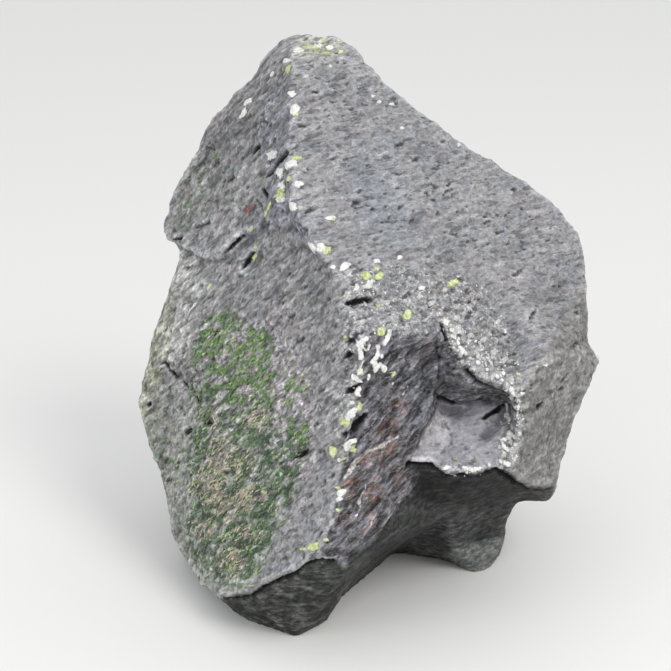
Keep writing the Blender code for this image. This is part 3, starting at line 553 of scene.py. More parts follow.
def slot_depths(places, seen, tree):
    """How deep the slots, holes and cracks cut, in mm, and a slope that passes 0.75 at the edge of each slit of
    painted shadow.
    """
    depth = np.zeros(len(places))
    slit = np.zeros(len(places))
    ragged = field(places, GRAIN_AXES, (8, 8, 5), 21.0, 2)
    runs = list(SLOTS)
    for line, half_width, deep in CRACKS:
        runs += [(start, end, half_width, deep) for start, end in zip(line, line[1:])]
    for number, (start, end, half_width, deep) in enumerate(runs):
        ends = [met_by(tree, *spot)[0] for spot in (start, end)]
        if None in ends:
            continue
        gap = gap_to_run(places, ends[0], ends[1])
        share = np.clip((gap + RAGGED_MM * MM * ragged) / (CUT_SHARE * half_width * MM), 0.0, None)
        depth = np.maximum(depth, deep * np.clip(1.0 - share * share, 0.0, 1.0) * seen)
        if deep < DARK_SLOT_MM:
            continue
        if number < len(SLOTS):
            # A single slot's painted shade is a lens, drawn out beyond its ends.
            middle, half_run = (ends[0] + ends[1]) / 2, (ends[1] - ends[0]) / 2
            reach = half_run.length + 0.5 * half_width * MM
            run = np.array(half_run.normalized())
            away = places - np.array(middle)
            lengthwise = away @ run
            sideways = np.linalg.norm(away - lengthwise[:, None] * run, axis=1)
            share = np.hypot(lengthwise / reach, sideways / (LENS_SHARE * half_width * MM))
        else:
            share = gap / (GROOVE_SHARE * half_width * MM)
        slit = np.maximum(slit, np.clip(1.0 - SIDE_SLOPE * (share + 0.45 * ragged), 0.0, 1.0) * seen)
    return depth, slit


def stepped(values, count):
    """Turns a smooth field into flat treads with short risers between them."""
    scaled = values * count
    tread = np.floor(scaled)
    return (tread + soft_step(scaled - tread, 0.34, 0.66)) / count


# The stone's own relief: the ground that each layer of it lies on, the axes it runs along, its cell along each of
# them in mm, a shift that keeps it apart from its likes, how much detail it has, how many flat treads it is split
# into, if any, and its height in mm.
RELIEF = (
    ("sound", GRAIN_AXES, (44, 44, 17), 7.0, 3, 4, 2.2),
    ("worn", GRAIN_AXES, (18, 18, 8), 13.0, 2, 3, 1.1),
    ("sound", GRAIN_AXES, (9, 9, 5), 29.0, 3, 0, 1.0),
    ("fresh", BREAK_AXES, (52, 19, 30), 61.0, 2, 3, 3.4),
    ("fresh", BREAK_AXES, (34, 11, 30), 51.0, 3, 3, 1.8),
    ("fresh", BREAK_AXES, (34, 11, 30), 51.0, 3, 0, 0.5),
    ("smooth", GRAIN_AXES, (60, 60, 9), 71.0, 3, 0, 1.2),
    ("ledge", BREAK_AXES, (36, 30, 30), 77.0, 1, 3, 1.3),
)
CRACK_MM = 1.2
RIDGE_MM = 1.2
DENT_MM = 2.0


def relief(places, masks):
    """How high the stone's skin stands at each vertex in mm, and how far it is in a dent."""
    smooth = np.clip(masks["under"] + masks["toe"], 0.0, 1.0)
    fresh = np.clip(masks["scar"] + 0.5 * masks["wall"], 0.0, 1.0)
    rough = (1.0 - 0.55 * smooth) * (1.0 - 0.5 * masks["ledge"])
    sound = rough * (1.0 - 0.45 * masks["pale"])
    worn = (1.0 - fresh) * sound
    grounds = {"sound": sound, "worn": worn, "fresh": fresh, "smooth": smooth, "ledge": masks["ledge"]}
    height = np.zeros(len(places))
    for ground, axes, cells_mm, shift, detail, treads, high in RELIEF:
        wave = field(places, axes, cells_mm, shift, detail)
        height += grounds[ground] * high * (stepped(wave, treads) if treads else wave)
    cracks = np.abs(field(places, GRAIN_AXES, (36, 36, 10), 17.0, 3))
    height -= worn * CRACK_MM * np.clip(1.0 - cracks / 0.05, 0.0, 1.0)
    ridges = np.abs(field(places, BREAK_AXES, (46, 13, 30), 57.0, 2))
    height += fresh * RIDGE_MM * np.clip(1.0 - 3.0 * ridges, -0.6, 1.0)
    crowd = 0.14 * soft_step(field(places, PLAIN_AXES, (70, 70, 70), 45.0), -0.35, 0.35)
    dents = soft_step(-field(places, GRAIN_AXES, (13, 13, 5.5), 5.0, 2), 0.56 - crowd, 0.84 - crowd)
    dents *= rough * (1.0 - fresh)
    return height - DENT_MM * dents, dents


def moss_drift(places):
    """From 0 on bare stone to 1 in the middle of a drift of moss."""
    drift = 0.8 * field(places, MOSS_AXES, (17, 17, 5.5), 91.0, 2)
    drift += 0.3 * field(places, PLAIN_AXES, (30, 30, 30), 95.0)
    drift += 0.55 * field(places, MOSS_AXES, (8.5, 8.5, 4.0), 99.0)
    return soft_step(drift, -0.15, 0.40)


def vein_mask(places, spots):
    """A slope that is 1 along the middle of each pale vein and passes 0.75 at its side."""
    vein = np.zeros(len(places))
    bent = spots + np.stack([1.6 * field(places, PLAIN_AXES, (9, 9, 9), shift, 2) for shift in (81.0, 87.0)], axis=1)
    for line, half_width in VEINS:
        for start, end in zip(line, line[1:]):
            vein = np.maximum(vein, 1.0 - SIDE_SLOPE * gap_to_run(bent, start, end) / half_width)
    return vein


def ground_marks(mesh, pairs, masks, spots, seen):
    """The grounds that the stone's material reads: its areas, painted shade and light, rust, veins and where the moss
    grows.
    """
    places = places_of(mesh)
    marks = dict(masks)
    marks["pale"] = np.maximum(masks["pale"], 0.9 * masks["bright_low"])
    # The faces turned down and near the ground are painted dark as shade, partly as damp; the heel takes some of it
    # off.
    dark = np.clip(masks["under"] + masks["toe"], 0.0, 1.0) * (1.0 - 0.30 * masks["heel"])
    plain = 1.0 - dark
    marks["shaded"] = dark
    marks["fresh"] = np.maximum(masks["scar"], 0.8 * masks["wall"])
    marks["bare"] = np.clip(plain - 0.7 * masks["ledge"] - 0.55 * masks["lobe"], 0.0, 1.0)
    marks["flank"] = np.clip(plain - marks["pale"] - masks["scar"] - masks["wall"] - masks["ledge"], 0.0, 1.0)
    # Painted light and shade: what stands proud of its neighbours is lighter, what lies in a hollow darker.
    proud = ((places - evened(places, pairs, 4)) * normals_of(mesh)).sum(axis=1) / MM
    marks["crest"] = np.clip(0.5 + 0.45 * proud, 0.0, 1.0)
    marks["straw"] = near_middles(spots, DRY_MOSS, 0.4, 1.3) * seen
    marks["rust"] = near_middles(spots, RUST_SPOTS, 0.3, 1.5) * seen
    marks["vein"] = vein_mask(places, spots) * seen
    mossy = soft_step(inside_by(spots, MOSS_PATCHES["moss_bank"]), -2.0, 8.0)
    # Dark green between the moss shoots: partly humus, partly painted shade under them.
    marks["humus"] = soft_step(moss_drift(places), 0.15, 0.75) * mossy * seen
    return marks


def stone_piece():
    """The stone with its worn skin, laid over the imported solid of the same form."""
    mesh = even_mesh(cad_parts["rock"])
    refine_front(mesh)
    pairs = rows_of(mesh.edges, "vertices", 2, np.int64)
    lay_on_solid(mesh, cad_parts["rock"])
    soften_flats(mesh, pairs)
    tree = tree_of(mesh)
    places = places_of(mesh)
    normals = evened(normals_of(mesh), pairs, 2)
    normals /= np.maximum(np.linalg.norm(normals, axis=1), 1e-9)[:, None]
    seen = seen_from_front(places, normals, tree)
    spots = to_view(places)
    masks = area_masks(places, normals, pairs, spots, seen)
    slots, slit = slot_depths(places, seen, tree)
    height, dents = relief(places, masks)
    seat = soft_step(places[:, 2], FLAT_BASE_MM * MM, 4.0 * FLAT_BASE_MM * MM)
    moved = places + (seat * (height - SLOT_SHARE * slots) * MM)[:, None] * normals
    low = places[:, 2] <= FLAT_BASE_MM * MM
    moved[low, 2] = places[low, 2]
    moved[:, 2] = np.maximum(moved[:, 2], 0.0)
    set_places(mesh, moved)
    shade_round(mesh)
    marks = ground_marks(mesh, pairs, masks, spots, seen)
    marks["slit"] = slit
    # Painted shade in the dents and slots.
    marks["pit"] = np.clip(np.maximum(DENT_DARK * dents, slots / FULL_PIT_MM), 0.0, 1.0)
    for name in STONE_GROUNDS:
        store(mesh, name, marks[name])
    return add_object("stone", mesh)


# ==== Materials ====
# Noise patterns in the stone: the axes it runs along, its cell along each of them in mm, detail, roughness, a shift
# in mm that keeps it apart from its likes, and the noise levels where it turns from 0 to 1 and back.
STONE_PATTERNS = {
    "clouds": (PLAIN_AXES, (60, 60, 60), 4, 0.6, 0, (0.34, 0.66)),
    "blue_tint": (PLAIN_AXES, (20, 20, 20), 3, 0.6, 0, (0.46, 0.66)),
    "warm_tint": (PLAIN_AXES, (15, 15, 15), 3, 0.6, 90, (0.5, 0.68)),
    "violet_tint": (PLAIN_AXES, (26, 26, 26), 3, 0.6, 190, (0.46, 0.64)),
    "lumps": (GRAIN_AXES, (30, 30, 13), 3, 0.6, 40, (0.38, 0.62)),
    "streaks": (GRAIN_AXES, (15, 15, 6.4), 3.5, 0.62, 0, (0.36, 0.64)),
    "threads": (GRAIN_AXES, (7, 7, 2.8), 2, 0.6, 60, (0.36, 0.64)),
    "layers": (LEVEL_AXES, (13, 13, 7), 4, 0.66, 20, (0.36, 0.64)),
    "thin_layers": (LEVEL_AXES, (5.5, 5.5, 3), 2, 0.64, 80, (0.36, 0.64)),
    "grains": (PLAIN_AXES, (4.6, 4.6, 4.6), 3, 0.62, 0, (0.36, 0.64)),
    "grit": (PLAIN_AXES, (1.4, 1.4, 1.4), 1, 0.6, 0, (0.34, 0.66)),
    "crumbs": (PLAIN_AXES, (6.5, 6.5, 6.5), 3, 0.66, 0, (0.333, 0.667)),
    "fine_crumbs": (PLAIN_AXES, (4.2, 4.2, 4.2), 2, 0.7, 30, (0.333, 0.667)),
    "lines": (GRAIN_AXES, (27, 27, 8), 3, 0.6, 37, (0.46, 0.5, 0.54)),
    "flecks": (GRAIN_AXES, (19, 19, 6.5), 3, 0.55, 510, (0.573, 0.64)),
    "runs": (BREAK_AXES, (26, 7.5, 12), 4, 0.66, 0, (0.39, 0.63)),
    "blotches": (BREAK_AXES, (46, 15, 24), 3, 0.6, 0, (0.44, 0.58)),
    "splints": (BREAK_AXES, (30, 6, 9), 3, 0.6, 70, (0.47, 0.5, 0.53)),
    "stains": (BREAK_AXES, (22, 7, 12), 3, 0.66, 140, (0.44, 0.62)),
}


def coat(ground, most, dark, light=None, tone="everywhere", where="everywhere", low=0.0, high=1.0):
    """A colour for one ground: how far it covers, its dark and its light, the pattern that turns one to the other,
    and the pattern that brings it in, from none of it at the low level to all of it at the high one."""
    return ground, most, dark, light or dark, tone, where, low, high


# Colours of the stone, each laid over those above it.
STONE_COATS = (
    coat("everywhere", 1.0, "#8c8b8d", "#a09f9f", "clouds"),
    coat("everywhere", 0.42, "#7f858e", "#8b909a", "streaks", "blue_tint"),
    coat("everywhere", 0.20, "#8f8a93", "#a09aa3", "streaks", "violet_tint"),
    coat("everywhere", 0.34, "#a2958a", where="warm_tint", low=0.2),
    coat("pale", 0.85, "#929297", "#a7a6a9", "clouds"),
    coat("pale", 0.36, "#8a929e", where="blue_tint", low=0.2),
    coat("pale", 0.24, "#ac9c90", where="warm_tint", low=0.3),
    coat("bluish", 0.20, "#8497a6"),
    coat("ridge_tint", 0.60, "#50535f", "#8b8ea2", "streaks", "lumps", 0.0, 0.7),
    coat("knob_green", 0.55, "#525f40", "#8f9b70", "threads", "crumbs", 0.4, 0.85),
    coat("crown", 0.70, "#a9a6ab", "#dad8da", "grains", "crumbs", 0.1, 0.5),
    coat("crown", 0.70, "#bcc67a", where="fine_crumbs", low=0.55, high=0.7),
    coat("lobe", 0.80, "#72726f", "#929190", "crumbs"),
    coat("ledge", 0.95, "#9a9aa2", "#a9a8af", "clouds"),
    coat("ledge", 0.35, "#8b8787", where="warm_tint", low=0.2),
    coat("ledge_light", 0.90, "#b9b7bd", "#cbc9ce", "grains"),
    coat("strip", 0.85, "#a3a3a0", "#cacac8", "streaks"),
    coat("green_edge", 0.80, "#8d9070", "#bcbe9a", "streaks", "crumbs", 0.25, 0.75),
    # The break: dark with rust, and partly painted shade, for it turns away from the light.
    coat("fresh", 0.94, "#18181c", "#939198", "runs"),
    coat("fresh", 0.70, "#262b34", "#979ca8", "runs", "blotches", 0.35),
    coat("fresh", 0.50, "#261f28", "#94899a", "runs", "violet_tint", 0.3),
    coat("rust", 0.78, "#452c24", "#bd8266", "runs", "stains", 0.34, 0.76),
    coat("rust", 0.55, "#c48664", where="splints", low=0.2),
    coat("fresh", 0.38, "#b5aea9", where="splints", low=0.3),
    coat("everywhere", 0.92, "#b5aea8", "#f0ece6", "grains", "vein", 0.66, 0.8),
    coat("lower_left", 0.50, "#a5a49e", "#bab9b3", "clouds"),
    coat("film", 0.58, "#66755a", "#9aa58a", "threads", "crumbs", 0.42, 0.9),
    coat("lilac", 0.86, "#afa4ac", "#ddd3da", "streaks", "crumbs", 0.6, 0.25),
    coat("algae", 0.55, "#5a7662", "#a9bca5", "threads", "crumbs", 0.15, 0.7),
    coat("straw", 0.60, "#b3957e", "#f2d5bd", "grains", "threads", 0.35, 0.8),
    # Under the moss: partly humus, partly painted shade.
    coat("humus", 0.62, "#20362a", "#8aa47f", "threads", "grains", 0.05, 0.5),
    coat("speckled", 0.36, "#b0b0ae", "#e0e0dd", "grains", "crumbs", 0.6, 0.72),
    coat("speckled", 0.55, "#4d4c4b", where="crumbs", low=0.36, high=0.22),
    coat("speckled", 0.65, "#ececea", where="fine_crumbs", low=0.8, high=0.9),
    # Painted shade: the faces turned down and near the ground are dark, partly as damp.
    coat("shaded", 0.96, "#191a1a", "#525353", "layers"),
    coat("shaded", 0.40, "#211c18", "#5f564e", "layers", "warm_tint", 0.3),
    coat("shaded", 0.35, "#1a201b", "#4b554c", "thin_layers", "violet_tint", 0.4),
    coat("toe", 0.34, "#1f231c", "#5d6255", "threads", "stains", 0.4, 0.9),
    coat("toe", 0.28, "#7a766c", where="splints", low=0.2),
    coat("heel", 0.55, "#4c5953", "#95a29a", "threads", "crumbs", 0.25, 0.75),
    coat("bare", 0.32, "#cac9ca", where="lines"),
    coat("bare", 0.50, "#48484b", where="flecks"),
    # Painted shade: dark in the dents and slots.
    coat("pit", 0.92, "#161617"),
    # Painted shadow: black along the middle of deep slots and of the grooves under the lips.
    coat("everywhere", 0.93, "#101011", where="slit", low=0.68, high=0.84),
)
# How much a ground's pattern darkens the stone where it is 0 and lightens it where it is 1.
STONE_SHADES = (
    ("bare", "streaks", 0.69, 1.05), ("bare", "grains", 0.86, 1.14), ("bare", "threads", 0.84, 1.16),
    ("shaded", "layers", 0.67, 1.06), ("shaded", "thin_layers", 0.84, 1.16), ("ledge", "clouds", 0.75, 0.92),
    # The crests' row paints light on what stands proud and shade in hollows.
    ("ledge", "crumbs", 0.85, 1.13), ("everywhere", "grit", 0.90, 1.10), ("everywhere", "crest", 0.56, 1.44),
    ("flank", "lumps", 0.79, 1.24), ("flank", "streaks", 0.90, 1.10), ("shaded", "lumps", 0.76, 1.24),
    ("shaded", "crumbs", 0.84, 1.16), ("toe", "lumps", 0.54, 1.20), ("toe", "layers", 0.84, 1.14),
    ("fresh", "runs", 0.82, 1.18), ("lobe", "crumbs", 0.78, 1.06),
)
# How much a ground is darker or lighter than its coats, all over. Those under the lips, under the notch's rim, in
# the break's corner by the ledge and in the lobe's hollow are painted shade; the one below the shoulder is painted
# light that lifts a shadow.
GROUND_SHADES = {
    "scar_dark": 0.76, "under_lip": 0.42, "below_shoulder": 1.26, "below_lip": 0.70, "under_rim": 0.66,
    "lobe_hollow": 0.86, "brow": 0.86, "speckled": 0.93,
}
# How high each pattern stands, as shares of the relief in BUMP_MM.
STONE_HEIGHTS = (
    ("bare", "streaks", 0.62), ("bare", "threads", 0.26), ("bare", "grains", 0.50), ("shaded", "layers", 0.62),
    ("shaded", "thin_layers", 0.26), ("ledge", "crumbs", 0.40), ("lobe", "crumbs", 0.35),
    ("everywhere", "grit", 0.13), ("bare", "lines", 0.22), ("bare", "flecks", -0.75), ("fresh", "runs", 0.95),
    ("fresh", "splints", 0.45),
)
BUMP_MM = 1.7
# What the stone's mesh keeps for its material: every name in these tables that isn't a pattern.
STONE_GROUNDS = {name for row in STONE_COATS for name in (row[0], row[5])} | set(GROUND_SHADES)
STONE_GROUNDS |= {name for row in STONE_SHADES + STONE_HEIGHTS for name in row[:2]}
STONE_GROUNDS = sorted(STONE_GROUNDS - set(STONE_PATTERNS) - {"everywhere"})


def linear(code):
    """An sRGB hex colour as linear light, with full alpha."""
    parts = [int(code[at:at + 2], 16) / 255.0 for at in (1, 3, 5)]
    light = [part / 12.92 if part <= 0.04045 else ((part + 0.055) / 1.055) ** 2.4 for part in parts]
    return (*light, 1.0)


def add_node(tree, kind, settings=None, links=None):
    """Adds a node. Settings name its options, its sockets or a ramp's stops, and links feed its sockets."""
    node = tree.nodes.new("ShaderNode" + kind)
    for name, value in (settings or {}).items():
        if name == "stops":
            ramp = node.color_ramp
            while len(ramp.elements) < len(value):
                ramp.elements.new(0.5)
            for element, (place, code) in zip(ramp.elements, value):
                element.position = place
                element.color = linear(code)
        elif isinstance(name, str) and hasattr(node, name):
            setattr(node, name, value)
        else:
            node.inputs[name].default_value = value
    for name, source in (links or {}).items():
        tree.links.new(source, node.inputs[name])
    return node


def new_material(name):
    material = bpy.data.materials.new(name)
    material.use_nodes = True
    material.node_tree.nodes.clear()
    return material, material.node_tree


def signals_for(tree, grounds, patterns):
    """Everything that may drive a colour, by name: marks kept on the mesh, noise patterns and a plain 1."""
    where = add_node(tree, "TexCoord").outputs["Object"]
    signals = {"everywhere": add_node(tree, "Math", {0: 1.0, 1: 0.0}).outputs[0]}
    for name in grounds:
        signals[name] = add_node(tree, "Attribute", {"attribute_name": name}).outputs["Fac"]
    for name, (axes, cells_mm, detail, rough, shift, levels) in patterns.items():
        grid = add_node(tree, "Mapping",
                        {"vector_type": "TEXTURE", "Location": (shift * MM,) * 3,
                         "Rotation": Matrix(axes.T.tolist()).to_euler(), "Scale": [cell * MM for cell in cells_mm]},
                        {"Vector": where})
        cloud = add_node(tree, "TexNoise", {"Scale": 1.0, "Detail": detail, "Roughness": rough, "Lacunarity": 2.1},
                         {"Vector": grid.outputs[0]})
        stops = [(level, "#ffffff" if at == 1 else "#000000") for at, level in enumerate(levels)]
        signals[name] = add_node(tree, "ValToRGB", {"stops": stops}, {"Fac": cloud.outputs["Fac"]}).outputs["Color"]
    return signals


def lay_coats(tree, signals, body, coats):
    """Lays each coat over the colour so far and gives the last colour. With none so far, the first coat is it."""
    for ground, most, dark, light, tone, where, low, high in coats:
        colour = add_node(tree, "Mix", {"data_type": "RGBA", 6: linear(dark), 7: linear(light)}, {0: signals[tone]})
        if body is None:
            body = colour.outputs[2]
            continue
        spread = add_node(tree, "MapRange", {"From Min": low, "From Max": high, "To Max": most},
                          {"Value": signals[where]})
        amount = add_node(tree, "Math", {"operation": "MULTIPLY"}, {0: spread.outputs[0], 1: signals[ground]})
        body = add_node(tree, "Mix", {"data_type": "RGBA"},
                        {0: amount.outputs[0], 6: body, 7: colour.outputs[2]}).outputs[2]
    return body


def shaded_by(tree, signals, body, shades):
    """The colour darkened and lightened by each pattern on its own ground."""
    for ground, pattern, least, most in shades:
        part = add_node(tree, "MapRange", {"To Min": least - 1.0, "To Max": most - 1.0}, {"Value": signals[pattern]})
        gain = add_node(tree, "Math", {"operation": "MULTIPLY_ADD", 2: 1.0}, {0: part.outputs[0], 1: signals[ground]})
        body = add_node(tree, "VectorMath", {"operation": "SCALE"}, {0: body, "Scale": gain.outputs[0]}).outputs[0]
    return body


def added_up(tree, signals, heights):
    """The sum of the patterns, each by its share and on its own ground."""
    total = signals["everywhere"]
    for ground, pattern, share in heights:
        part = add_node(tree, "MapRange", {"To Max": share}, {"Value": signals[pattern]})
        total = add_node(tree, "Math", {"operation": "MULTIPLY_ADD"},
                         {0: part.outputs[0], 1: signals[ground], 2: total}).outputs[0]
    return total


def grown_finish(name, grounds, patterns, coats, heights, relief_mm, settings, shades=(), stops=None):
    """A material of coats, shades and relief. With stops, its first ground picks the colour under the coats."""
    material, tree = new_material(name)
    signals = signals_for(tree, grounds, patterns)
    body = None
    if stops:
        body = add_node(tree, "ValToRGB", {"stops": stops}, {"Fac": signals[grounds[0]]}).outputs[0]
    body = shaded_by(tree, signals, lay_coats(tree, signals, body, coats), shades)
    bump = add_node(tree, "Bump", {"Strength": 1.0, "Distance": relief_mm * MM},
                    {"Height": added_up(tree, signals, heights)})
    shader = add_node(tree, "BsdfPrincipled", settings, {"Base Color": body, "Normal": bump.outputs[0]})
    add_node(tree, "OutputMaterial", {}, {"Surface": shader.outputs[0]})
    return material


def stone_material():
    """Weathered grey schist, split and worn by frost: dry and matt, with grain that runs along its splitting planes.
    Fresh breaks are dark with rust and partly with painted shade. The faces turned down and near the ground are
    painted dark as shade, and partly as damp. Grit under 1 mm is too fine to show, so it is drawn 1.4 mm wide."""
    shades = STONE_SHADES + tuple((ground, "everywhere", 1.0, gain) for ground, gain in GROUND_SHADES.items())
    return grown_finish("weathered_grey_schist", STONE_GROUNDS, STONE_PATTERNS, STONE_COATS, STONE_HEIGHTS, BUMP_MM,
                        {"Roughness": 0.86, "IOR": 1.5, "Specular IOR Level": 0.35}, shades)


def crust_material(name, dark, middle, light):
    """Crust lichen, a dry skin of grains about 1 mm wide grown onto the stone, dull and cracked, with a darker rim
    that is partly its own and partly painted contact shade.
    Its cracks are under 0.2 mm, and are drawn coarser so that they show."""
    patterns = {
        "clouds": (PLAIN_AXES, (5, 5, 5), 3.0, 0.6, 0, (0.36, 0.62)),
        "grains": (PLAIN_AXES, (1.6, 1.6, 1.6), 2.0, 0.6, 20, (0.38, 0.62)),
        "cracks": (PLAIN_AXES, (4, 4, 4), 2.0, 0.6, 50, (0.47, 0.50, 0.53)),
    }
    coats = (
        coat("everywhere", 1.0, middle, light, "clouds"),
        coat("everywhere", 0.50, dark, where="grains", low=0.55, high=0.0),
        coat("everywhere", 0.45, dark, where="cracks", low=0.3),
        coat("rim", 0.55, dark),
    )
    heights = (("everywhere", "grains", 0.7), ("everywhere", "cracks", -0.5))
    return grown_finish(name, ("rim",), patterns, coats, heights, 0.5,
                        {"Roughness": 0.92, "IOR": 1.45, "Specular IOR Level": 0.3})


def moss_material():
    """Creeping feather moss: thin green leaves, dull and a little translucent to the eye, some dried to straw, each
    lighter toward its tip. Leaves under 1 mm are drawn about 2.5 mm long."""
    stops = ((0.0, "#152820"), (0.10, "#2a4a38"), (0.20, "#6c8674"), (0.30, "#3f6636"), (0.44, "#5d8648"),
             (0.58, "#94b26e"), (0.70, "#ccd6b2"), (0.80, "#dac8b4"), (1.0, "#f6e0ce"))
    coats = (coat("tip", 0.26, "#bccaa4"), coat("everywhere", 0.25, "#2c3f2c", where="grains", low=0.5))
    return grown_finish("creeping_feather_moss", ("shoot_tone", "tip"),
                        {"grains": (PLAIN_AXES, (1.2, 1.2, 1.2), 2.0, 0.6, 0, (0.36, 0.64))},
                        coats, (("everywhere", "grains", 1.0),), 0.1,
                        {"Roughness": 0.7, "IOR": 1.4, "Specular IOR Level": 0.3, "Sheen Weight": 0.15}, stops=stops)


def leaf_material():
    """A dry fallen leaf, red-brown and curled, dull, with a dark midrib and veins that are drawn 3 mm apart."""
    patterns = {
        "clouds": (PLAIN_AXES, (3, 3, 3), 3.0, 0.6, 0, (0.34, 0.66)),
        "veins": (PLAIN_AXES, (3, 3, 3), 1.0, 0.5, 20, (0.46, 0.50, 0.54)),
    }
    coats = (
        coat("everywhere", 1.0, "#5c2c2d", "#b67f78", "clouds"),
        coat("everywhere", 0.40, "#57302e", where="veins"),
        coat("rib", 1.0, "#3c1f20"),
    )
    return grown_finish("dry_red_leaf", ("rib",), patterns, coats, (("everywhere", "clouds", 1.0),), 0.15,
                        {"Roughness": 0.6, "IOR": 1.45, "Specular IOR Level": 0.4})


# ==== Crust lichens ====
# The rings of a crust from its middle out: their reach, their height in thicknesses and how much of its dark rim they
# are. The rim is partly the lichen's own and partly painted contact shade.
CRUST_RINGS = ((0.40, 1.05, 0.0), (0.72, 1.15, 0.1), (0.92, 0.75, 0.5), (1.06, -0.6, 1.0))
CRUST_STEP_MM = 0.45        # a crust has one corner round its rim for each of these in its half length
CRUST_SPREAD = 1.1          # crusts are laid this much larger than they are marked
SEARCH_FROM_MM = 15         # how far off the stone, and for how long, a crust's outline looks for it
SEARCH_MM = 32
# How thick the crusts are: those that stand alone, the knobs that grow in rows, specks, and those round the back.
CRUST_MM = 0.65
KNOB_MM = 0.9
SPECK_MM = 0.4
BACK_CRUST_MM = 0.7


def joined_piece(name, corners, faces, marks, material):
    """One joined mesh from lists of corners and faces, with its marks and material."""
    mesh = bpy.data.meshes.new(name)
    mesh.from_pydata(corners, [], faces)
    for mark_name, values in marks.items():
        store(mesh, mark_name, values)
    mesh.materials.append(material)
    return add_object(name, mesh)


def crust(stone, spot, sight, size, rng, build):
    """One crust: a thin ragged cushion that follows the stone, its rim and its back sunk in it.
    Sight is the direction along which its outline is carried onto the stone."""
    half_length, half_width, turn, thick, uneven = size
    corners, faces, rims = build
    around = max(11, min(34, int(half_length / (CRUST_STEP_MM * MM))))
    side = sight.cross(VIEW_UP).normalized()
    top = side.cross(sight)
    along = side * math.cos(turn) + top * math.sin(turn)
    across = top * math.cos(turn) - side * math.sin(turn)
    grown = Vector((rng.uniform(0, 50), rng.uniform(0, 50), rng.uniform(0, 50)))
    lobes = 1.5 + min(2.6, half_length / (4 * MM))
    bend = rng.uniform(-0.7, 0.7) * min(1.0, half_length / half_width - 1.0)
    first = len(corners)

    def laid(reach, angle, lift):
        turned = Vector((math.cos(angle), math.sin(angle), 0.0)) * lobes
        ragged = 1.0 + uneven * (0.66 * noise.noise(grown + turned) + 0.50 * noise.noise(grown + turned * 2.6))
        out = reach * max(0.35, ragged)
        lengthwise = out * math.cos(angle)
        place = spot + along * lengthwise * half_length
        place += across * half_width * (out * math.sin(angle) + bend * (lengthwise * lengthwise - 0.5))
        hit, normal, _, _ = stone.ray_cast(place - sight * SEARCH_FROM_MM * MM, sight, SEARCH_MM * MM)
        if hit is None:
            hit, normal, _, _ = stone.find_nearest(place)
        return hit + normal * lift

    corners.append(laid(0.0, 0.0, thick))
    rims.append(0.0)
    for reach, height, rim in CRUST_RINGS:
        for step in range(around):
            bump = 0.3 * thick * (rng.random() - 0.5) if height > 0.0 else 0.0
            corners.append(laid(reach, 2 * math.pi * step / around, thick * height + bump))
            rims.append(rim)
    outer = first + 1 + (len(CRUST_RINGS) - 1) * around
    for step in range(around):
        after = (step + 1) % around
        faces.append((first, first + 1 + step, first + 1 + after))
        for low in range(first + 1, outer, around):
            faces.append((low + step, low + around + step, low + around + after, low + after))
    back = len(corners)
    corners.append(laid(0.0, 0.0, -1.5 * thick))
    rims.append(1.0)
    faces.extend((outer + (step + 1) % around, outer + step, back) for step in range(around))


def crust_piece(name, stone, placed, rows, scattered, material, seed):
    """All crusts of one kind: those placed by the main view, rows of knobs, then those scattered on other sides."""
    rng = random.Random(seed)
    build = ([], [], [])
    for across, down, half_length, half_width, turn in placed:
        line = sight_line(across, down)
        spot, normal = met_by(stone, across, down)
        if spot is None:
            continue
        sight = line if -normal.dot(line) > 0.6 else (line - 1.5 * normal).normalized()
        size = [CRUST_SPREAD * half * PX_MM * MM for half in (half_length, half_width)]
        crust(stone, spot, sight, (*size, math.radians(turn), CRUST_MM * MM, 0.8), rng, build)
    for row in rows:
        for (across, down, half), after in zip(row, row[1:] + [None]):
            knobs = [(across, down, half)]
            if after and math.hypot(after[0] - across, after[1] - down) > 1.1 * half:
                knobs.append(tuple((one + two) / 2 for one, two in zip((across, down, 0.8 * half), after)))
            for knob_across, knob_down, knob_half in knobs:
                spot, normal = met_by(stone, knob_across, knob_down)
                half_mm = knob_half * PX_MM * MM
                size = (1.15 * half_mm, half_mm, rng.uniform(0, 3.14), KNOB_MM * MM, 0.4)
                crust(stone, spot, -normal, size, rng, build)
    for spot, normal, half, thick in scattered:
        size = (half, half * rng.uniform(0.4, 1.0), rng.uniform(0, 3.14), thick, 1.0)
        crust(stone, spot, -normal, size, rng, build)
    piece = joined_piece(name, build[0], build[1], {"rim": build[2]}, material)
    shade_round(piece.data)
    return piece


def spots_inside(rng, outline, count, margin=0.0):
    """Random places of the main view inside an outline, with how deep inside each one lies."""
    xs, ys = zip(*outline)
    left, right, top, bottom = min(xs) - margin, max(xs) + margin, min(ys) - margin, max(ys) + margin
    tried = np.array([(rng.uniform(left, right), rng.uniform(top, bottom)) for _ in range(count)])
    depths = inside_by(tried, outline)
    kept = depths > -margin - 1e-6
    return tried[kept].tolist(), depths[kept].tolist()


def specks_in_view(stone, rng, count, outline, half_px):
    """Small crusts scattered inside an outline of the main view: place, way it faces, half width and thickness."""
    found = []
    spots, _ = spots_inside(rng, outline, 12 * count)
    for spot in spots:
        place, normal = met_by(stone, *spot)
        if place is None or noise.noise(place / (14 * MM)) < rng.uniform(-0.35, 0.3):
            continue
        half = rng.uniform(0.0, 1.0) ** 1.8 * (half_px[1] - half_px[0]) + half_px[0]
        found.append((place, normal, half * PX_MM * MM, SPECK_MM * MM))
        if len(found) == count:
            break
    return found


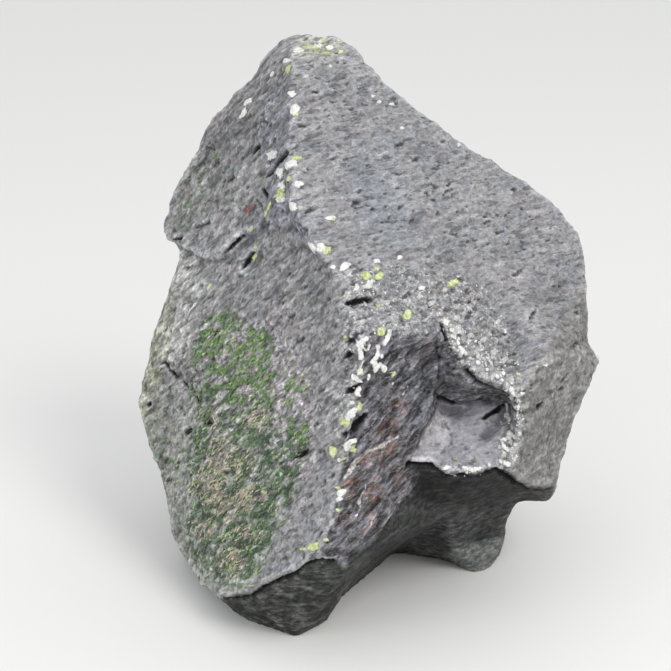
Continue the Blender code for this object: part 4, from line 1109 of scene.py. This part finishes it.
def specks_round_back(stone, rng, count, half_mm, heights):
    """Crusts on the sides away from the main view, in drifts on the upper faces."""
    found = []
    while len(found) < count:
        turn = rng.uniform(-0.25, math.pi + 0.25)
        height = rng.uniform(*heights)
        start = Vector((1.2 * math.cos(turn), 1.2 * math.sin(turn) + 0.02, height + 0.5))
        aim = Vector((rng.uniform(-0.12, 0.12), rng.uniform(-0.08, 0.08), height)) - start
        place, normal, _, _ = stone.ray_cast(start, aim.normalized())
        if place is None or normal.z < -0.1 or noise.noise(place / (70 * MM)) < rng.uniform(-0.1, 0.35):
            continue
        if normal.dot((EYE - place).normalized()) > -0.15:
            continue
        found.append((place, normal, rng.uniform(*half_mm) * MM, BACK_CRUST_MM * MM))
    return found


# ==== Moss ====
LEAF_PAIRS = 7              # leaf pairs on one moss shoot
SHOOT_MM = (7.0, 13.0)      # how long the shoots are
RISE_MM = (1.2, 3.2)        # how high they arch
SHOOT_TURN = 0.26           # how far they turn off the face's own run, in radians
MOSS_LEAF_MM = (2.0, 3.0)
DRY_TONE = 0.72             # from this tone on a shoot is dry: longer, with its leaves laid along it
DRY_LENGTH = 1.4
BANK_SHOOTS_PER_PX = 0.42   # how many shoots are tried on a square pixel of the bank, and of the small patches
ISLET_SHOOTS_PER_PX = 0.8
THIN_EDGE_PX = 9.0          # how wide the thin edge of a patch is
# Tones of the shoots in the upper and in the lower part of the moss, from dark clumps to light ones.
UPPER_TONES = (0.02, 0.08, 0.26, 0.32, 0.38, 0.44, 0.52, 0.60)
LOWER_TONES = (0.0, 0.06, 0.10, 0.18, 0.22, 0.30, 0.46, 0.62)
LOWER_FROM = 410            # down, in the main view


def frame_at(normal, run):
    """Along and across directions that lie in the surface, the first along a run."""
    along = run - normal * run.dot(normal)
    if along.length < 1e-6:
        along = normal.orthogonal()
    along.normalize()
    return along, normal.cross(along)


def moss_shoot(place, normal, rng, tone, build, scale=1.0):
    """One creeping shoot: a low arched stem with pointed leaves in two ranks."""
    corners, faces, tones, tips = build
    along, across = frame_at(normal, MOSS_RUN if normal.dot(LEFT_FACE) > 0.3 else VIEW_UP)
    turn = rng.gauss(0.0, SHOOT_TURN)
    along, across = along * math.cos(turn) + across * math.sin(turn), across * math.cos(turn) - along * math.sin(turn)
    length = rng.uniform(*SHOOT_MM) * MM * scale * (1.0 if tone < DRY_TONE else DRY_LENGTH)
    rise = rng.uniform(*RISE_MM) * MM * scale
    for pair in range(LEAF_PAIRS):
        share = (pair + 0.5) / LEAF_PAIRS
        arch = math.sin(math.pi * min(1.0, 0.15 + 0.8 * share))
        root = place + along * length * (share - 0.3) + normal * (rise * arch + 0.2 * MM)
        size = rng.uniform(*MOSS_LEAF_MM) * MM * scale * (1.0 - 0.4 * share)
        for side in (-1.0, 1.0):
            splay = rng.uniform(0.3, 0.8) if tone < DRY_TONE else rng.uniform(0.05, 0.35)
            point = along + across * side * splay + normal * rng.uniform(-0.10, 0.45)
            point.normalize()
            wide = point.cross(normal).normalized() * size * 0.30
            first = len(corners)
            corners.extend((root, root + point * size * 0.45 + wide, root + point * size,
                            root + point * size * 0.45 - wide))
            faces.extend(((first, first + 1, first + 2), (first, first + 2, first + 3)))
            tones.extend((tone + rng.uniform(-0.09, 0.09),) * 4)
            tips.extend((0.0, 0.35, 1.0, 0.35))


def tone_at(across, down, rng):
    """How green or dry a shoot is at this place of the main view: fresher above, darker and drier below."""
    tones = UPPER_TONES if down < LOWER_FROM else LOWER_TONES
    clump = 0.5 + 0.8 * noise.noise(Vector((across / 9.0, down / 9.0, 4.0))) + rng.uniform(-0.45, 0.45)
    tone = tones[int(min(0.99, max(0.0, clump)) * len(tones))]
    for spots, odds, own_tones in ((BRIGHT_MOSS, 1.6, (0.34, 0.66)), (DRY_MOSS, 0.42, (0.78, 1.0))):
        for x, y, reach in spots:
            near = max(0.0, 1.0 - math.hypot(across - x, down - y) / (1.3 * reach))
            if rng.random() < odds * near:
                tone = rng.uniform(*own_tones)
    return tone + rng.uniform(-0.04, 0.04)


def moss_piece(name, build, material):
    return joined_piece(name, build[0], build[1], {"shoot_tone": build[2], "tip": build[3]}, material)


def patch_piece(name, stone, outline, per_px, material, seed):
    """One moss patch: shoots in drifts along the face's grain, with bare stone between them."""
    rng = random.Random(seed)
    xs, ys = zip(*outline)
    spots, depths = spots_inside(rng, outline, int((max(xs) - min(xs)) * (max(ys) - min(ys)) * per_px), 3.0)
    hits = [(spot, depth, *met_by(stone, *spot)) for spot, depth in zip(spots, depths)]
    hits = [hit for hit in hits if hit[2] is not None]
    drifts = moss_drift(np.array([hit[2] for hit in hits]))
    build = ([], [], [], [])
    for (spot, depth, place, normal), drift in zip(hits, drifts):
        bare = rng.uniform(0.10, 0.72) + 0.35 * max(0.0, 1.0 - max(0.0, depth) / THIN_EDGE_PX)
        if drift > bare and normal.dot(LEFT_FACE) > 0.35:
            moss_shoot(place, normal, rng, tone_at(*spot, rng), build)
    return moss_piece(name, build, material)


def fleck_piece(stone, material, seed):
    """Lone tufts in hollows away from the patches, and some at the back near the ground."""
    rng = random.Random(seed)
    build = ([], [], [], [])
    for x, y, reach, count in MOSS_FLECKS:
        for _ in range(count):
            across, down = rng.gauss(x, 0.5 * reach), rng.gauss(y, 0.5 * reach)
            place, normal = met_by(stone, across, down)
            if place is not None:
                moss_shoot(place, normal, rng, rng.uniform(0.15, 0.6), build, 0.6)
    for place, normal, _, _ in specks_round_back(stone, rng, 420, (1, 2), (-0.25, 0.15)):
        moss_shoot(place, normal, rng, rng.uniform(0.12, 0.6), build, 0.75)
    return moss_piece("moss_flecks", build, material)


# ==== The leaf ====
LEAF_FROM = (246.5, 212.5)
LEAF_TO = (259.0, 205.5)
LEAF_HALF_MM = 3.4
LEAF_THICK_MM = 0.3
LEAF_STEPS = 14             # how many rows of faces it has lengthwise
LEAF_CROSS = 8              # and crosswise


def leaf_piece(stone, material):
    """The caught leaf: a thin pointed blade, curled up along both edges."""
    start, normal = met_by(stone, *LEAF_FROM)
    end = met_by(stone, *LEAF_TO)[0]
    along, across = frame_at(normal, end - start)
    length = (end - start).length
    corners, faces, ribs = [], [], []
    proud = 0.0
    for step in range(LEAF_STEPS + 1):
        for side in (-1.0, 0.0, 1.0):
            place = start + along * length * step / LEAF_STEPS + across * side * 0.6 * LEAF_HALF_MM * MM
            ground = stone.ray_cast(place + normal * 20 * MM, -normal)[0]
            proud = max(proud, (ground - start).dot(normal))
    for step in range(LEAF_STEPS + 1):
        share = step / LEAF_STEPS
        half = LEAF_HALF_MM * MM * max(0.06, math.sin(math.pi * share ** 0.8)) ** 0.7
        for cross in range(LEAF_CROSS + 1):
            side = 2.0 * cross / LEAF_CROSS - 1.0
            curl = side * (0.95 + 0.25 * share)
            lift = 1.4 * MM + 1.8 * MM * (1.0 - math.cos(curl)) * 1.6 + 0.9 * MM * math.sin(3.0 * share + 0.4)
            corners.append(start + along * length * share + across * half * math.sin(curl) * 1.1
                           + normal * (lift - 0.6 * MM + proud))
            ribs.append(max(0.0, 1.0 - abs(side) * 5.0) * 0.8)
    row = LEAF_CROSS + 1
    for step in range(LEAF_STEPS):
        for at in range(step * row, step * row + LEAF_CROSS):
            faces.append((at, at + 1, at + row + 1, at + row))
    piece = joined_piece("leaf_blade", corners, faces, {"rib": ribs}, material)
    shade_round(piece.data)
    piece.modifiers.new("blade thickness", "SOLIDIFY").thickness = LEAF_THICK_MM * MM
    return piece


# ==== Stage, light and camera ====
FLOOR_HALF = 8.0
LIGHT_AIM = Vector((0.0, 0.0, 0.33))
# Soft lamps: name, place, width in metres, watts and colour.
LAMPS = (
    ("key", Vector((1.9, -2.3, 3.3)), 2.0, 80.0, "#fffdfa"),
    ("fill", Vector((-2.6, -2.2, 1.7)), 2.0, 24.0, "#f8faff"),
)


def stage_and_light():
    """A plain pale floor, an even pale sky and two soft lamps."""
    mesh = bpy.data.meshes.new("floor")
    mesh.from_pydata([(x * FLOOR_HALF, y * FLOOR_HALF, 0.0) for x, y in ((-1, -1), (1, -1), (1, 1), (-1, 1))], [],
                     [(0, 1, 2, 3)])
    floor = add_object("floor", mesh)
    material, tree = new_material("matt_pale_floor")
    shader = add_node(tree, "BsdfPrincipled", {"Base Color": linear("#e6e6e4"), "Roughness": 0.9})
    add_node(tree, "OutputMaterial", {}, {"Surface": shader.outputs[0]})
    mesh.materials.append(material)
    world = bpy.data.worlds.new("pale_sky")
    world.use_nodes = True
    background = world.node_tree.nodes["Background"]
    background.inputs["Color"].default_value = linear("#f4f5f6")
    background.inputs["Strength"].default_value = 0.95
    bpy.context.scene.world = world
    for name, place, size, watts, code in LAMPS:
        data = bpy.data.lights.new(name, "AREA")
        data.shape = "DISK"
        data.size = size
        data.energy = watts
        data.color = linear(code)[:3]
        lamp = add_object(name, data)
        lamp.location = place
        lamp.rotation_euler = (LIGHT_AIM - place).to_track_quat("-Z", "Y").to_euler()
    bpy.context.scene.view_settings.view_transform = "Standard"


def camera():
    data = bpy.data.cameras.new("main_view")
    data.sensor_width = 36.0
    data.lens = data.sensor_width * FOCAL_PX / VIEW_WIDTH
    view = add_object("main_view", data)
    view.location = EYE
    view.rotation_euler = (-VIEW_BACK).to_track_quat("-Z", "Y").to_euler()
    bpy.context.scene.camera = view


# ==== Putting it together ====
def dress():
    """Makes every piece, ties it to the one body and hides the solid that it stands in for."""
    stone = stone_piece()
    stone.data.materials.clear()
    stone.data.materials.append(stone_material())
    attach(stone, "root")
    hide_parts("rock")
    ground = tree_of(stone.data)

    moss = moss_material()
    for number, (node, outline) in enumerate(MOSS_PATCHES.items()):
        per_px = BANK_SHOOTS_PER_PX if node == "moss_bank" else ISLET_SHOOTS_PER_PX
        patch = patch_piece(node + "_shoots", ground, outline, per_px, moss, 100 + number)
        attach(patch, "root")
        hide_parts(node)
    flecks = fleck_piece(ground, moss, 7)
    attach(flecks, "root")

    rng = random.Random(31)
    white = specks_in_view(ground, rng, 110, AREAS["speckled"], (0.5, 1.4))
    white += specks_in_view(ground, rng, 44, RIM_CRUST, (0.9, 2.8))
    grey = specks_in_view(ground, rng, 90, RIM_CRUST, (1.3, 4.0))
    grey += specks_in_view(ground, rng, 50, AREAS["speckled"], (1.0, 2.6))
    white += specks_round_back(ground, rng, 70, (1.5, 8), (0.0, 0.6))
    yellow = specks_round_back(ground, rng, 34, (2, 9), (0.1, 0.6))
    grey += specks_round_back(ground, rng, 60, (2, 10), (-0.1, 0.6))
    white_skin = crust_material("white_crust_lichen", "#b4b3ab", "#dfded9", "#ffffff")
    yellow_skin = crust_material("yellow_green_map_lichen", "#80914c", "#bccb80", "#ebefc8")
    grey_skin = crust_material("grey_crust_lichen", "#80807e", "#b4b4b1", "#dededb")
    for name, placed, rows, scattered, material, seed in (
            ("lichen_white", WHITE_CRUSTS, WHITE_ROWS, white, white_skin, 11),
            ("lichen_yellow", YELLOW_CRUSTS, [], yellow, yellow_skin, 12),
            ("lichen_grey", GREY_CRUSTS, [], grey, grey_skin, 13)):
        crusts = crust_piece(name, ground, placed, rows, scattered, material, seed)
        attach(crusts, "root")

    leaf = leaf_piece(ground, leaf_material())
    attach(leaf, "root")
    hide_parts("leaf_scrap")


dress()
stage_and_light()
camera()
